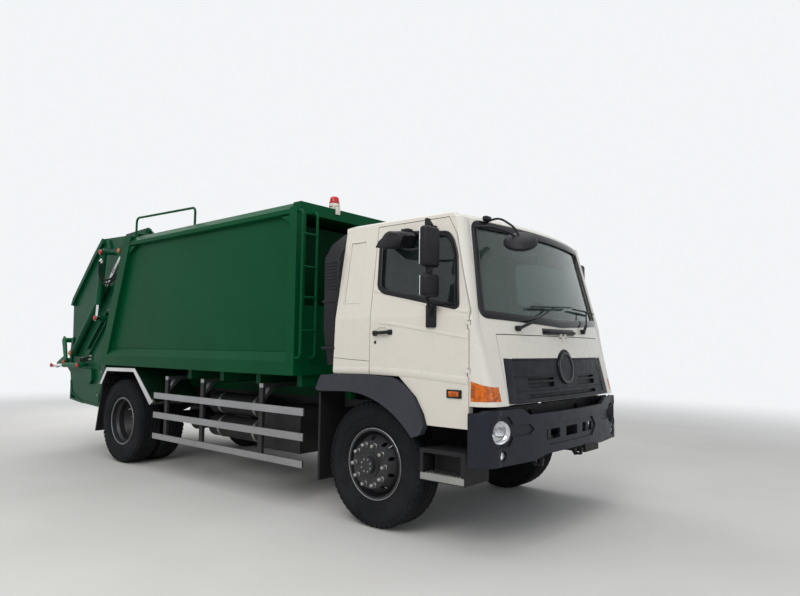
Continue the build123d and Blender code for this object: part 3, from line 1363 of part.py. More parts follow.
with BuildPart() as seats:
    for seat_y in (-620, 0, 620):
        block((-150, 330), (seat_y - 240, seat_y + 240), (1500, 1620))
        side_prism([(-150, 1620), (-30, 1620), (-150, 2200), (-250, 2200)], (seat_y - 220, seat_y + 220))
        block((-100, 280), (seat_y - 180, seat_y + 180), (1230, 1500))
save(seats.part, "seats")

with BuildPart() as dashboard:
    side_prism([(780, 1230), (925, 1230), (925, 1690), (800, 1720), (640, 1600)], (-1100, 1100))
    column_top = (ahead(500), 620, 1790)
    rod((ahead(760), 620, 1560), column_top, 25)
    column = Plane(origin=column_top, z_dir=(-260, 0, 230))
    with BuildSketch(column) as ring:
        Circle(225)
        Circle(200, mode=Mode.SUBTRACT)
        Rectangle(410, 40)
    extrude(ring.sketch, amount=25)
save(dashboard.part, "dashboard")

with BuildPart() as cab_fittings:
    # Air intake duct up the back of the cab, right side
    side_prism(
        [
            (cab_back(1340), 1340), (cab_back(2540), 2540), (-470, 2560), (-600, 2450), (-600, 1340),
        ],
        (-1210, -985),
    )
    # The duct's outer side slopes in at its top and foot
    for cut in ([(-1150, 1300), (-1215, 1660), (-1300, 1660), (-1300, 1300)],
                [(-1215, 2312), (-1035, 2565), (-1300, 2600), (-1300, 2312)]):
        front_prism(cut, (-700, -350), Mode.SUBTRACT)
    # Kerb mirror ahead of the windscreen's right corner
    rod((ahead(800), -960, 2596), (ahead(1150), -800, 2520), 14)
    rod((ahead(1150), -800, 2520), (ahead(1190), -790, 2400), 14)
    block((1150, 1200), (-890, -690), (2250, 2420))
save(cab_fittings.part, "cab_fittings")

for side_name, side in (("left", 1), ("right", -1)):
    with BuildPart() as door:
        side_panel(side, DOOR_OUTLINE)
        side_panel(side, WINDOW_OUTLINE, -20, CAB_WALL + 20, Mode.SUBTRACT)
        # Upper knuckle of each hinge, on a leaf let into the door's edge
        hinge_x, hinge_y = DOOR_HINGE
        for low in DOOR_HINGE_HEIGHTS:
            upper = low + KNUCKLE_LENGTH + SEAT_GAP
            block(
                (975, 1000), (side * (hinge_y - 18), side * (hinge_y + 20)),
                (low - MOVING_GAP, low + 2 * KNUCKLE_LENGTH + MOVING_GAP), Mode.SUBTRACT,
            )
            block(
                (955, hinge_x), (side * (hinge_y - 10), side * (hinge_y + 6)),
                (upper, upper + KNUCKLE_LENGTH),
            )
            knuckle((ahead(hinge_x), side * hinge_y, upper), KNUCKLE_LENGTH, KNUCKLE_RADIUS)
            knuckle(
                (ahead(hinge_x), side * hinge_y, low), 3 * KNUCKLE_LENGTH, HINGE_PIN_RADIUS + RUNNING_FIT,
                Mode.SUBTRACT,
            )
    save(door.part, f"door_{side_name}")
    with BuildPart() as door_glass:
        side_panel(side, WINDOW_OUTLINE, 22, 28)
    save(door_glass.part, f"door_glass_{side_name}")
    with BuildPart() as mirrors:
        block((600, 680), (side * 1205, side * 1225), (1690, 1745))
        rod((ahead(645), side * 1223, 1720), (ahead(700), side * 1340, 1853), 14)
        rod((ahead(700), side * 1340, 1838), (ahead(700), side * 1340, 2490), 18)
        rod((ahead(700), side * 1340, 2465), (ahead(600), side * 1140, 2465), 14)
        block((580, 620), (side * 1119, side * 1150), (2450, 2480))
        block((690, 760), (side * 1260, side * 1440), (2120, 2430))
        block((690, 760), (side * 1260, side * 1440), (1890, 2060))
    save(mirrors.part, f"mirrors_{side_name}")
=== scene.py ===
"""Looks of the garbage truck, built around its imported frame.

Metres, in the frame of the CAD part: +X forward, +Y to the truck's left, +Z up. Places
along the truck are given ahead of the front axle, through the function at().
"""

from math import cos, pi, radians, sin, sqrt

import bmesh
import bpy
from mathutils import Matrix, Vector


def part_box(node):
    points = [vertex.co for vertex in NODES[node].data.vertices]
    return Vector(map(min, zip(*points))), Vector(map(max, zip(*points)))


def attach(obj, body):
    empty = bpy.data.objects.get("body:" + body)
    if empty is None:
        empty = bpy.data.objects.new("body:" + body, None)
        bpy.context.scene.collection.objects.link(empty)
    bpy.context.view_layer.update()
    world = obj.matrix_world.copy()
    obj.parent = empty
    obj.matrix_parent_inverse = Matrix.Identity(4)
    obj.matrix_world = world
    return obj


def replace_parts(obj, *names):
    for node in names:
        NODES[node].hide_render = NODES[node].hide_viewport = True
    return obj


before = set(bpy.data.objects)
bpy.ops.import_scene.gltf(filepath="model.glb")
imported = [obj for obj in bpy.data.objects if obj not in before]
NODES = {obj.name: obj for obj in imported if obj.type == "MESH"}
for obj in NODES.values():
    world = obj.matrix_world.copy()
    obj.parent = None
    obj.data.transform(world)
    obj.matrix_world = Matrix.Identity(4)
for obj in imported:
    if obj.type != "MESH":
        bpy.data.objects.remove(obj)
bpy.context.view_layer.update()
SIDES = (("left", 1), ("right", -1))
BOTH = (1, -1)
FORWARD = Vector((1, 0, 0))
UP = Vector((0, 0, 1))

# The front axle's place and the tyres' radius, from the frame
TYRE_BOX = {(end, side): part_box(f"tyre_{end}_{side}") for end in ("front", "rear") for side, _ in SIDES}
FRONT_AXLE = sum(corner.x for corner in TYRE_BOX["front", "left"]) / 2
TYRE_RADIUS = TYRE_BOX["front", "left"][1].z / 2


def at(ahead, y, z):
    """Point in metres from millimetres: ahead of the front axle, to the left, above the ground."""
    return Vector((FRONT_AXLE + ahead / 1000, y / 1000, z / 1000))


def spokes(first, second, count, shift=0.0):
    """Directions all round from the first towards the second, turned on by a share of a step."""
    angles = [2 * pi * (index + shift) / count for index in range(count)]
    return [first * cos(angle) + second * sin(angle) for angle in angles]


def linked(name, data):
    """New object in the scene."""
    made = bpy.data.objects.new(name, data)
    bpy.context.scene.collection.objects.link(made)
    return made


# Materials
class Graph:
    """A tree of shader nodes."""

    def __init__(self, tree):
        self.tree = tree

    def put(self, value, socket):
        """Feeds a socket from a node's output, or sets it to a value."""
        if isinstance(value, bpy.types.NodeSocket):
            self.tree.links.new(value, socket)
        elif socket.type == "RGBA":
            socket.default_value = (*value[:3], 1)
        else:
            socket.default_value = value

    def add(self, kind, sockets=None, **settings):
        """New node with its settings, its sockets fed or set."""
        node = self.tree.nodes.new(kind)
        for key, value in settings.items():
            setattr(node, key, value)
        for key, value in (sockets or {}).items():
            self.put(value, node.inputs[key])
        return node

    def maths(self, operation, first, second):
        return self.add("ShaderNodeMath", {0: first, 1: second}, operation=operation).outputs[0]

    def seen_by(self, *rays):
        """1 for the named kinds of ray, 0 for all others."""
        path = self.add("ShaderNodeLightPath")
        share = path.outputs[rays[0]]
        for ray in rays[1:]:
            share = self.maths("MAXIMUM", share, path.outputs[ray])
        return share


class Nodes(Graph):
    """A material, built up from its nodes."""

    def __init__(self):
        self.material = bpy.data.materials.new("look")
        self.material.use_nodes = True
        super().__init__(self.material.node_tree)
        self.shader = self.tree.nodes["Principled BSDF"]
        self.place = self.add("ShaderNodeTexCoord").outputs["Object"]

    def set(self, **values):
        """Feeds or sets the shader's own sockets."""
        for key, value in values.items():
            self.put(value, self.shader.inputs[key.replace("_", " ")])

    def noise(self, scale, detail=4, stretch=None):
        """Noise value over the piece, with its scale in waves to the metre."""
        source = self.place
        if stretch:
            source = self.add("ShaderNodeMapping", {"Vector": source, "Scale": stretch}).outputs["Vector"]
        sockets = {"Vector": source, "Scale": scale, "Detail": detail}
        return self.add("ShaderNodeTexNoise", sockets).outputs["Fac"]

    def grey(self, value, low, high, at_low, at_high):
        """Level that goes from one to the other as a value passes between two marks."""
        node = self.add("ShaderNodeValToRGB", {"Fac": value})
        for element, mark, level in zip(node.color_ramp.elements, (low, high), (at_low, at_high)):
            element.position = mark
            element.color = (level, level, level, 1)
        return node.outputs["Color"]

    def mix(self, factor, first, second):
        """Colour between two others."""
        return self.add("ShaderNodeMix", {"Factor": factor, 6: first, 7: second}, data_type="RGBA").outputs[2]

    def patchy(self, noise, low, high, colour, shade):
        """Colour that passes into another in patches of noise."""
        return self.mix(self.grey(noise, low, high, 0.0, 1.0), colour, shade)

    def height(self):
        """Height above the ground in metres."""
        return self.add("ShaderNodeSeparateXYZ", {0: self.place}).outputs["Z"]

    def fade(self, value, low, high):
        """0 below low, 1 above high, smooth between."""
        sockets = {"Value": value, "From Min": low, "From Max": high}
        return self.add("ShaderNodeMapRange", sockets, interpolation_type="SMOOTHSTEP").outputs["Result"]

    def bump(self, source, distance, strength, edge):
        """Surface relief from a height value, over edges rounded by the edge radius."""
        normal = self.add("ShaderNodeBevel", {"Radius": edge}, samples=4).outputs["Normal"]
        sockets = {"Distance": distance, "Strength": strength, "Height": source, "Normal": normal}
        self.set(Normal=self.add("ShaderNodeBump", sockets).outputs["Normal"])


DUST = (0.17, 0.16, 0.145)
DUST_FULL = 0.2
DUST_TOP = 1.3


def scaled(colour, share):
    """Lighter or darker colour."""
    return tuple(min(1.0, value * share) for value in colour)


def dusty(nodes, colour, amount, low=DUST_FULL, high=DUST_TOP):
    """Road dust over a colour, thicker towards the ground and in patches."""
    fall = nodes.fade(nodes.height(), high, low)
    patches = nodes.grey(nodes.noise(3.5, 6), 0.35, 0.75, 0.25, 1.0)
    share = nodes.maths("MULTIPLY", nodes.maths("MULTIPLY", fall, patches), amount)
    return nodes.mix(share, colour, DUST)


def paint(colour, shade, roughness, dust, edge=0.004, coat=0.3, specular=0.5, streaks=0.35):
    """Sprayed gloss paint: faint tone changes, orange peel, rain streaks and road dust."""
    nodes = Nodes()
    tone = nodes.patchy(nodes.noise(1.3, 3), 0.35, 0.65, colour, shade)
    streak = nodes.grey(nodes.noise(1.0, 6, (9, 9, 0.7)), 0.5, 0.8, 0.0, streaks)
    nodes.set(
        Base_Color=dusty(nodes, nodes.mix(streak, tone, scaled(shade, 0.86)), dust),
        Roughness=nodes.grey(nodes.noise(3, 3), 0.3, 0.8, roughness * 0.96, roughness * 1.1),
        Coat_Weight=coat, Coat_Roughness=0.08, Specular_IOR_Level=specular,
    )
    nodes.bump(nodes.noise(420, 2), 0.00003, 0.25, edge)
    return nodes.material


def plastic(colour, roughness, grain=900, depth=0.00015, dust=0.25, edge=0.003):
    """Moulded plastic with a fine grain."""
    nodes = Nodes()
    tone = nodes.patchy(nodes.noise(2.2, 4), 0.3, 0.7, colour, scaled(colour, 1.25))
    nodes.set(
        Base_Color=dusty(nodes, tone, dust), Specular_IOR_Level=0.2,
        Roughness=nodes.grey(nodes.noise(14, 5), 0.3, 0.75, roughness * 0.85, roughness * 1.2),
    )
    nodes.bump(nodes.noise(grain, 3), depth, 0.5, edge)
    return nodes.material


def metal(colour, roughness, brush=None, dust=0.15, edge=0.002):
    """Bare metal, brushed along one axis where brush gives the stretch."""
    nodes = Nodes()
    tone = nodes.patchy(nodes.noise(3, 5), 0.3, 0.75, colour, scaled(colour, 0.82))
    lines = nodes.noise(60, 5, brush) if brush else nodes.noise(22, 6)
    nodes.set(
        Base_Color=dusty(nodes, tone, dust), Metallic=1.0,
        Roughness=nodes.grey(lines, 0.3, 0.7, roughness * 0.7, roughness * 1.35),
    )
    nodes.bump(lines, 0.0001, 0.25, edge)
    return nodes.material


def rubber(colour, dust, roughness=0.78):
    """Black rubber with a dry bloom and dust."""
    nodes = Nodes()
    tone = nodes.patchy(nodes.noise(7, 6), 0.35, 0.7, colour, scaled(colour, 1.4))
    nodes.set(
        Base_Color=dusty(nodes, tone, dust, 0.0, 1.2), Specular_IOR_Level=0.12,
        Roughness=nodes.grey(nodes.noise(25, 5), 0.3, 0.7, roughness * 0.9, roughness * 1.15),
    )
    nodes.bump(nodes.noise(300, 4), 0.0004, 0.4, 0.002)
    return nodes.material


def glass(colour, roughness):
    """Tinted glass or clear lamp plastic."""
    nodes = Nodes()
    nodes.set(Base_Color=colour, Roughness=roughness, Transmission_Weight=0.9, IOR=1.45)
    return nodes.material


def lens(colour):
    """Coloured lamp lens over facets painted lighter and darker one by one, as painted glints of facets that
    catch the light.
    """
    nodes = Nodes()
    facets = nodes.add("ShaderNodeTexVoronoi", {"Vector": nodes.place, "Scale": 42}, feature="F1")
    facet = nodes.add("ShaderNodeSeparateXYZ", {0: facets.outputs["Color"]}).outputs["X"]
    nodes.set(
        Base_Color=nodes.patchy(facet, 0.1, 0.9, scaled(colour, 0.6), scaled(colour, 1.25)),
        Roughness=0.12, Coat_Weight=0.15, Coat_Roughness=0.03, Specular_IOR_Level=0.3,
    )
    nodes.bump(facets.outputs["Distance"], 0.0015, 0.4, 0.004)
    return nodes.material


def fabric(colour):
    """Woven seat cloth."""
    nodes = Nodes()
    sockets = {"Vector": nodes.place, "Scale": 90, "Distortion": 1.5}
    wave = nodes.add("ShaderNodeTexWave", sockets, wave_type="BANDS", bands_direction="DIAGONAL")
    weave = wave.outputs["Fac"]
    nodes.set(Base_Color=nodes.mix(weave, colour, scaled(colour, 1.5)), Roughness=0.92)
    nodes.bump(weave, 0.0006, 0.6, 0.02)
    return nodes.material


# Looks: the record's slot, the material, and the nodes of the CAD part that show it
MACHINE_GREEN = {"roughness": 0.40, "dust": 0.05, "coat": 0.03, "specular": 0.12, "streaks": 0.15}
LOOKS = {
    "cab_white": (
        "white_paint", paint((0.705, 0.670, 0.600), (0.700, 0.665, 0.595), 0.27, 0.04, streaks=0.03),
        ("cab_sides", "cab_rear", "cab_roof", "cab_front", "door_left", "door_right", "front_lid"),
    ),
    "body_green": (
        "green_paint",
        paint((0.0003, 0.069, 0.023), (0.0003, 0.059, 0.019), 0.42, 0.04, 0.004, 0.0, 0.08, 0.12),
        ("body_floor", "body_sides", "body_roof", "body_front_frame", "body_rear_frame", "ladder", "ejector"),
    ),
    "lifter_green": (
        "green_paint", paint((0.003, 0.115, 0.042), (0.002, 0.095, 0.034), **MACHINE_GREEN),
        ("bin_lifter", "bin_barrels"),
    ),
    "machine_green": (
        "green_paint", paint((0.001, 0.072, 0.029), (0.001, 0.060, 0.024), **MACHINE_GREEN),
        ("tailgate", "carriage", "sweeper", "lift_barrels", "press_barrels", "sweep_barrels"),
    ),
    "chassis": (
        "chassis_paint", paint((0.008, 0.008, 0.009), (0.012, 0.012, 0.013), 0.5, 0.12, 0.003, 0.0, 0.3),
        ("chassis_frame", "suspension", "driveline", "frame_equipment", "knuckle_left", "knuckle_right"),
    ),
    "rim": (
        "rim_paint", paint((0.014, 0.015, 0.018), (0.018, 0.019, 0.022), 0.42, 0.10, 0.002, 0.0, 0.4),
        [f"wheel_{end}_{side}" for end, side in TYRE_BOX],
    ),
    "red": ("red_lens", paint((0.55, 0.020, 0.016), (0.48, 0.018, 0.015), 0.35, 0.1, 0.002), ()),
    "orange": ("red_lens", paint((0.60, 0.16, 0.03), (0.52, 0.13, 0.03), 0.4, 0.1, 0.002), ()),
    "black": (
        "dark_plastic", plastic((0.010, 0.010, 0.012), 0.5, dust=0.08),
        # The cab floor takes this black look, which is painted shade where it shows in the gap under the
        # front lid
        ("steps_and_flaps", "cab_fittings", "mirrors_left", "mirrors_right", "cab_floor"),
    ),
    "gloss_black": ("dark_plastic", plastic((0.010, 0.010, 0.012), 0.14, 60, 0.00002, 0.05), ()),
    "bumper": ("bumper_plastic", plastic((0.012, 0.014, 0.022), 0.42, 500, 0.00008, 0.05), ("bumper",)),
    "flare": ("dark_plastic", plastic((0.036, 0.038, 0.048), 0.6, 700, 0.0002, 0.08), ("wheel_arches",)),
    "grille": ("bumper_plastic", plastic((0.006, 0.007, 0.012), 0.5, 500, 0.00006, 0.03), ("grille",)),
    "trim": ("dark_plastic", plastic((0.10, 0.10, 0.105), 0.6), ("dashboard",)),
    "tyre": (
        "tyre_rubber", rubber((0.006, 0.007, 0.009), 0.10), [f"tyre_{end}_{side}" for end, side in TYRE_BOX]
    ),
    "rubber": ("flap_rubber", rubber((0.010, 0.010, 0.011), 0.10), ()),
    "guard": ("guard_metal", metal((0.38, 0.38, 0.39), 0.36, (0.4, 12, 12)), ("side_guards",)),
    "stainless": ("stainless", metal((0.62, 0.62, 0.61), 0.22, (1, 8, 1)), ("rear_mudguards",)),
    "chrome": (
        "rod_chrome", metal((0.80, 0.80, 0.82), 0.07),
        ("lift_rods", "press_rods", "sweep_rods", "bin_rods", "eject_stage_1", "eject_stage_2"),
    ),
    "steel": ("guard_metal", metal((0.42, 0.42, 0.40), 0.4), ()),
    "windscreen": ("window_glass", glass((0.27, 0.38, 0.34), 0.0), ("cab_glass",)),
    "side_window": ("window_glass", glass((0.11, 0.15, 0.16), 0.0), ("door_glass_left", "door_glass_right")),
    "lamp": ("lamp_glass", glass((0.95, 0.96, 0.97), 0.02), ("headlamps",)),
    "amber": ("amber_lens", lens((0.58, 0.115, 0.001)), ("corner_lamps",)),
    "red_lens": ("red_lens", lens((0.60, 0.010, 0.012)), ("beacon",)),
    "clear_lens": ("lamp_glass", lens((0.55, 0.55, 0.54)), ()),
    "fabric": ("seat_fabric", fabric((0.045, 0.045, 0.05)), ("seats",)),
}
for look, (_, material, names) in LOOKS.items():
    material.name = look
    for node_name in names:
        for material_slot in NODES[node_name].material_slots:
            material_slot.material = material


# Mesh helpers
STRIP_SECTION = ((-1, 0.4), (-0.6, 1), (0.6, 1), (1, 0.4))
STRIP_SUNK = -0.002
BOLT_CONE = 0.001
BEND_STEPS = 6
BEND_REACH = 0.45


class Shape:
    """Gathers simple solids into one mesh piece."""

    def __init__(self):
        self.mesh = bmesh.new()

    def faces_from(self, rings, loop=False):
        """Skin over rings of as many points each, closed at its ends or into a loop."""
        made = [[self.mesh.verts.new(point) for point in ring] for ring in rings]
        count = len(made[0])
        pairs = list(zip(made, made[1:])) + ([(made[-1], made[0])] if loop else [])
        for low, high in pairs:
            for index in range(count):
                following = (index + 1) % count
                self.mesh.faces.new((low[index], low[following], high[following], high[index]))
        if not loop:
            self.mesh.faces.new(made[0][::-1])
            self.mesh.faces.new(made[-1])

    def box(self, low, high):
        """Box between two corners."""
        (x0, x1), (y0, y1), (z0, z1) = (sorted(pair) for pair in zip(low, high))
        self.faces_from([[(x0, y0, z), (x1, y0, z), (x1, y1, z), (x0, y1, z)] for z in (z0, z1)])

    def lathe(self, origin, axis, profile, segments=48, closed=True):
        """Turns (distance along the axis, radius) points about an axis; a closed profile makes a ring."""
        origin, axis = Vector(origin), Vector(axis).normalized()
        side = axis.orthogonal().normalized()
        around = spokes(side, axis.cross(side), segments)
        rings = [[origin + axis * along + spoke * radius for spoke in around] for along, radius in profile]
        self.faces_from(rings, closed)

    def rod(self, start, end, radius, segments=20, chamfer=0.0):
        """Round bar with chamfered ends."""
        length = (end - start).length
        cut = min(chamfer, radius * 0.6, length / 3)
        profile = [(0, radius - cut), (cut, radius), (length - cut, radius), (length, radius - cut)]
        if cut <= 0:
            profile = [(0, radius), (length, radius)]
        self.lathe(start, end - start, profile, segments, False)

    def bolt(self, foot, axis, radius, height, chamfer):
        """Hexagon head."""
        profile = [(0, radius), (height - chamfer, radius), (height, radius - chamfer - BOLT_CONE)]
        self.lathe(foot, axis, profile, 6, False)

    def tube(self, points, radius, segments=14, bend=0.0):
        """Round bar along a line of points, its corners rounded to the bend radius."""
        path = smooth_path(points, bend)
        rings = []
        normal = (path[1] - path[0]).orthogonal().normalized()
        for index, point in enumerate(path):
            before, after = path[max(index - 1, 0)], path[min(index + 1, len(path) - 1)]
            heading = (after - before).normalized()
            normal = (normal - heading * normal.dot(heading)).normalized()
            around = spokes(normal, heading.cross(normal), segments)
            rings.append([point + spoke * radius for spoke in around])
        self.faces_from(rings)

    def pipe(self, side, places, radius, segments, bend=0.0):
        """Round bar along (ahead, y, z) places in millimetres on one side."""
        self.tube([at(x, side * y, z) for x, y, z in places], radius, segments, bend)

    def strip(self, line, width, thickness, closed=False):
        """Low moulding with sloped edges along a line of points and normals on a surface."""
        path, normals = line
        count = len(path)
        raised = [(out, lift * thickness) for out, lift in STRIP_SECTION]
        profile = [(-1, STRIP_SUNK)] + raised + [(1, STRIP_SUNK)]
        rings = []
        for index, (point, normal) in enumerate(zip(path, normals)):
            before = path[index - 1] if closed or index else point
            after = path[(index + 1) % count] if closed or index < count - 1 else point
            side = (after - before).cross(normal).normalized() * (width / 2)
            rings.append([point + side * out + normal * lift for out, lift in profile])
        self.faces_from(rings, closed)

    def rounded(self, low, high, radius, segments=3):
        """Box between two corners with all its edges rounded."""
        size = [abs(second - first) for first, second in zip(low, high)]
        matrix = Matrix.LocRotScale((low + high) / 2, None, Vector(size))
        made = bmesh.ops.create_cube(self.mesh, size=1, matrix=matrix)
        edges = list({edge for vertex in made["verts"] for edge in vertex.link_edges})
        reach = min(radius, min(size) * 0.48)
        bmesh.ops.bevel(self.mesh, geom=edges, offset=reach, segments=segments, profile=0.5, affect="EDGES")

    def blocks(self, side, *rows):
        """Boxes on one side, from rows of two corners in millimetres; a radius rounds them."""
        for (x0, y0, z0), (x1, y1, z1), *rounding in rows:
            make = self.rounded if rounding else self.box
            make(at(x0, side * y0, z0), at(x1, side * y1, z1), *rounding)

    def prism(self, outline, start, end, chamfer):
        """Solid of an outline moved from one offset to another, with a chamfered rim."""
        heading = (end - start).normalized()
        cut = heading * min(chamfer, (end - start).length / 2.01)
        inner = inset_outline(outline, heading, cut.length)
        ends = ((inner, start), (outline, start + cut), (outline, end - cut), (inner, end))
        self.faces_from([[point + offset for point in points] for points, offset in ends])

    def plate(self, outline, side, inner, outer, chamfer=0.004):
        """Upright plate on one side, from (ahead, z) places and the y of its two faces."""
        points = [at(ahead, 0, z) for ahead, z in outline]
        self.prism(points, across(side * inner), across(side * outer), chamfer)

    def finish(self, name, body, look, smooth=35):
        """Turns what was gathered into a piece that rides on a body."""
        bmesh.ops.recalc_face_normals(self.mesh, faces=self.mesh.faces)
        data = bpy.data.meshes.new(name)
        self.mesh.to_mesh(data)
        self.mesh.free()
        data.shade_smooth()
        data.set_sharp_from_angle(angle=radians(smooth))
        slot_name, material, _ = LOOKS[look]
        data.materials.append(material)
        piece = linked(name, data)
        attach(piece, body)
        return piece


def paired(name, body, look, *rows):
    """Piece of boxes that are the same on both sides."""
    shape = Shape()
    for side in BOTH:
        shape.blocks(side, *rows)
    shape.finish(name, body, look)


def inset_outline(points, normal, distance):
    """Outline moved in by a distance in its own plane."""
    middle = sum(points, Vector()) / len(points)
    moved = []
    for index, point in enumerate(points):
        before, after = points[index - 1], points[(index + 1) % len(points)]
        first = (point - before).cross(normal).normalized()
        second = (after - point).cross(normal).normalized()
        if first.dot(middle - point) < 0 and second.dot(middle - point) < 0:
            first, second = -first, -second
        share = max(0.3, 1 + first.dot(second))
        moved.append(point + (first + second) * (distance / share))
    return moved


def smooth_path(points, bend, closed=False):
    """Line of points with each corner replaced by a short arc."""
    if bend <= 0 or len(points) < 3:
        return points
    path = [] if closed else [points[0]]
    if closed:
        points = [points[-1]] + points + [points[0]]
    for before, corner, after in zip(points, points[1:], points[2:]):
        reach = min(bend, (corner - before).length * BEND_REACH, (after - corner).length * BEND_REACH)
        start = corner + (before - corner).normalized() * reach
        end = corner + (after - corner).normalized() * reach
        for step in range(BEND_STEPS + 1):
            share = step / BEND_STEPS
            path.append(start.lerp(corner, share).lerp(corner.lerp(end, share), share))
    return path if closed else path + [points[-1]]


def across(y):
    """Offset along Y, from millimetres."""
    return Vector((0, y / 1000, 0))


# Tyres: a carcass with ribs on its walls, a tread of grooves and lugs on its shoulders
TYRE_WIDTH = 0.279
TWIN_GAP = 0.320
TREAD_SEGMENTS = 96
GROOVES = (-0.070, -0.024, 0.024, 0.070)
GROOVE_DEPTH = 0.014
LUGS = 56
LUG_HALF_WIDTH = 0.019
LUG_DEPTH = 0.022


def tread_profile(half):
    """Half-width places and radii across the tread, from edge to edge, with its grooves."""
    points = [(-half + 0.022, TYRE_RADIUS - 0.010), (-half + 0.034, TYRE_RADIUS - 0.004)]
    for groove in GROOVES:
        for offset, depth in ((-0.007, 0), (-0.004, GROOVE_DEPTH), (0.004, GROOVE_DEPTH), (0.007, 0)):
            points.append((groove + offset, TYRE_RADIUS - 0.001 - depth))
    return points + [(half - 0.034, TYRE_RADIUS - 0.004), (half - 0.022, TYRE_RADIUS - 0.010)]


def tyre_shape(shape, origin, axis):
    """One tyre about its axle."""
    half = TYRE_WIDTH / 2
    wall = [
        (half - 0.010, TYRE_RADIUS - 0.035), (half - 0.007, TYRE_RADIUS - 0.058),
        (half - 0.004, TYRE_RADIUS - 0.060), (half - 0.001, TYRE_RADIUS - 0.090),
        (half, 0.405), (half - 0.001, 0.385), (half - 0.004, 0.383), (half - 0.005, 0.362),
        (half - 0.004, 0.358), (half - 0.009, 0.340), (half - 0.014, 0.330), (half - 0.012, 0.326),
        (half - 0.020, 0.308), (half - 0.026, 0.303), (half - 0.034, 0.300),
        (half - 0.034, 0.288), (half - 0.052, 0.287),
    ]
    inside = [(half - 0.062, 0.380), (0, 0.500), (-half + 0.062, 0.380)]
    profile = [(-x, r) for x, r in wall[::-1]] + tread_profile(half) + wall + inside
    shape.lathe(origin, axis, profile, TREAD_SEGMENTS)
    for edge in (-1, 1):
        inner = (origin + axis * (edge * (half - 0.036)), TYRE_RADIUS - 0.001)
        outer = (origin + axis * (edge * (half - 0.004)), TYRE_RADIUS - 0.020)
        corners = ((*inner, -1), (*inner, 1), (*outer, 1), (*outer, -1))
        shift = 0.5 if edge > 0 else 0
        for spoke, tangent in zip(spokes(FORWARD, UP, LUGS, shift), spokes(UP, -FORWARD, LUGS, shift)):
            half_width = tangent * LUG_HALF_WIDTH
            shape.faces_from([
                [base + spoke * (radius - depth) + half_width * turn for base, radius, turn in corners]
                for depth in (LUG_DEPTH, 0)
            ])


for side_name, side in SIDES:
    for end in ("front", "rear"):
        low, high = TYRE_BOX[end, side_name]
        tyre = Shape()
        offsets = (0,) if end == "front" else (-TWIN_GAP / 2, TWIN_GAP / 2)
        for offset in offsets:
            tyre_shape(tyre, (low + high) / 2 + Vector((0, offset, 0)), Vector((0, side, 0)))
        piece = tyre.finish(f"tread_tyre_{end}_{side_name}", f"wheel_{end}_{side_name}", "tyre")
        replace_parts(piece, f"tyre_{end}_{side_name}")


# Surfaces of the cab on which its fittings lie, as in the CAD part
CAB_BELT = 1750
CAB_HALF_WIDTH = 1205
CAB_SIDE_LEAN = 100 / 810
FRONT_SECTIONS = (
    # height, edge ahead of the axle, half width at the edge, nose ahead of the axle
    (1076, 1180, 1060, 1225), (1700, 1020, 1100, 1160), (2560, 838, 985, 955),
)
FRONT_STEP = 60
SIDE_STEP = 150


def cab_side(ahead, z, side, proud=0.0):
    """Point on the cab's side."""
    lean = max(0, z - CAB_BELT) * CAB_SIDE_LEAN
    return at(ahead, side * (CAB_HALF_WIDTH - lean + proud), z)


def side_normal(z, side):
    """Outward direction of the cab's side at a height."""
    return Vector((0, side, CAB_SIDE_LEAN if z > CAB_BELT else 0)).normalized()


def cab_front(y, z, proud=0.0):
    """Point on the cab's bowed front."""
    low, high = FRONT_SECTIONS[:2] if z < FRONT_SECTIONS[1][0] else FRONT_SECTIONS[1:]
    share = (z - low[0]) / (high[0] - low[0])
    half_width = low[2] + (high[2] - low[2]) * share
    reach = []
    for _, edge, width, nose in (low, high):
        rise = nose - edge
        radius = (width ** 2 + rise ** 2) / (2 * rise)
        reach.append(nose - radius + sqrt(radius ** 2 - (y / half_width * width) ** 2))
    return at(reach[0] + (reach[1] - reach[0]) * share + proud, y, z)


def front_normal(y, z):
    """Outward direction of the cab's front."""
    along_y = cab_front(y + 5, z) - cab_front(y - 5, z)
    along_z = cab_front(y, z + 5) - cab_front(y, z - 5)
    return along_y.cross(along_z).normalized()


def divide(points, step, closed=False):
    """Line of points with longer runs cut into steps."""
    ends = points[1:] + ([points[0]] if closed else [])
    path = []
    for start, end in zip(points, ends):
        pieces = max(1, round((end - start).length / step))
        path += [start.lerp(end, index / pieces) for index in range(pieces)]
    return path if closed else path + [points[-1]]


def on_front(points, proud=0.0, step=FRONT_STEP, bend=0, closed=False):
    """Line on the cab's front, from (y, z) places, with its normals."""
    line = divide(smooth_path([Vector(point) for point in points], bend, closed), step, closed)
    return [cab_front(y, z, proud) for y, z in line], [front_normal(y, z) for y, z in line]


def on_side(points, side, proud=0.0, bend=0, closed=False):
    """Line on the cab's side, from (ahead, z) places, with its normals."""
    line = divide(smooth_path([Vector(point) for point in points], bend, closed), SIDE_STEP, closed)
    return [cab_side(x, z, side, proud) for x, z in line], [side_normal(z, side) for x, z in line]


def ribs_on_side(shape, lines, side, width, thickness):
    """Adds ribs along lines of (ahead, z) places on the cab's side."""
    for line in lines:
        shape.strip(on_side(line, side, -1), width, thickness)


def moulding(name, body, look, lines, width, thickness, closed=False, smooth=60):
    """Piece of mouldings of one section along lines on a surface."""
    shape = Shape()
    for line in lines:
        shape.strip(line, width, thickness, closed)
    shape.finish(name, body, look, smooth)


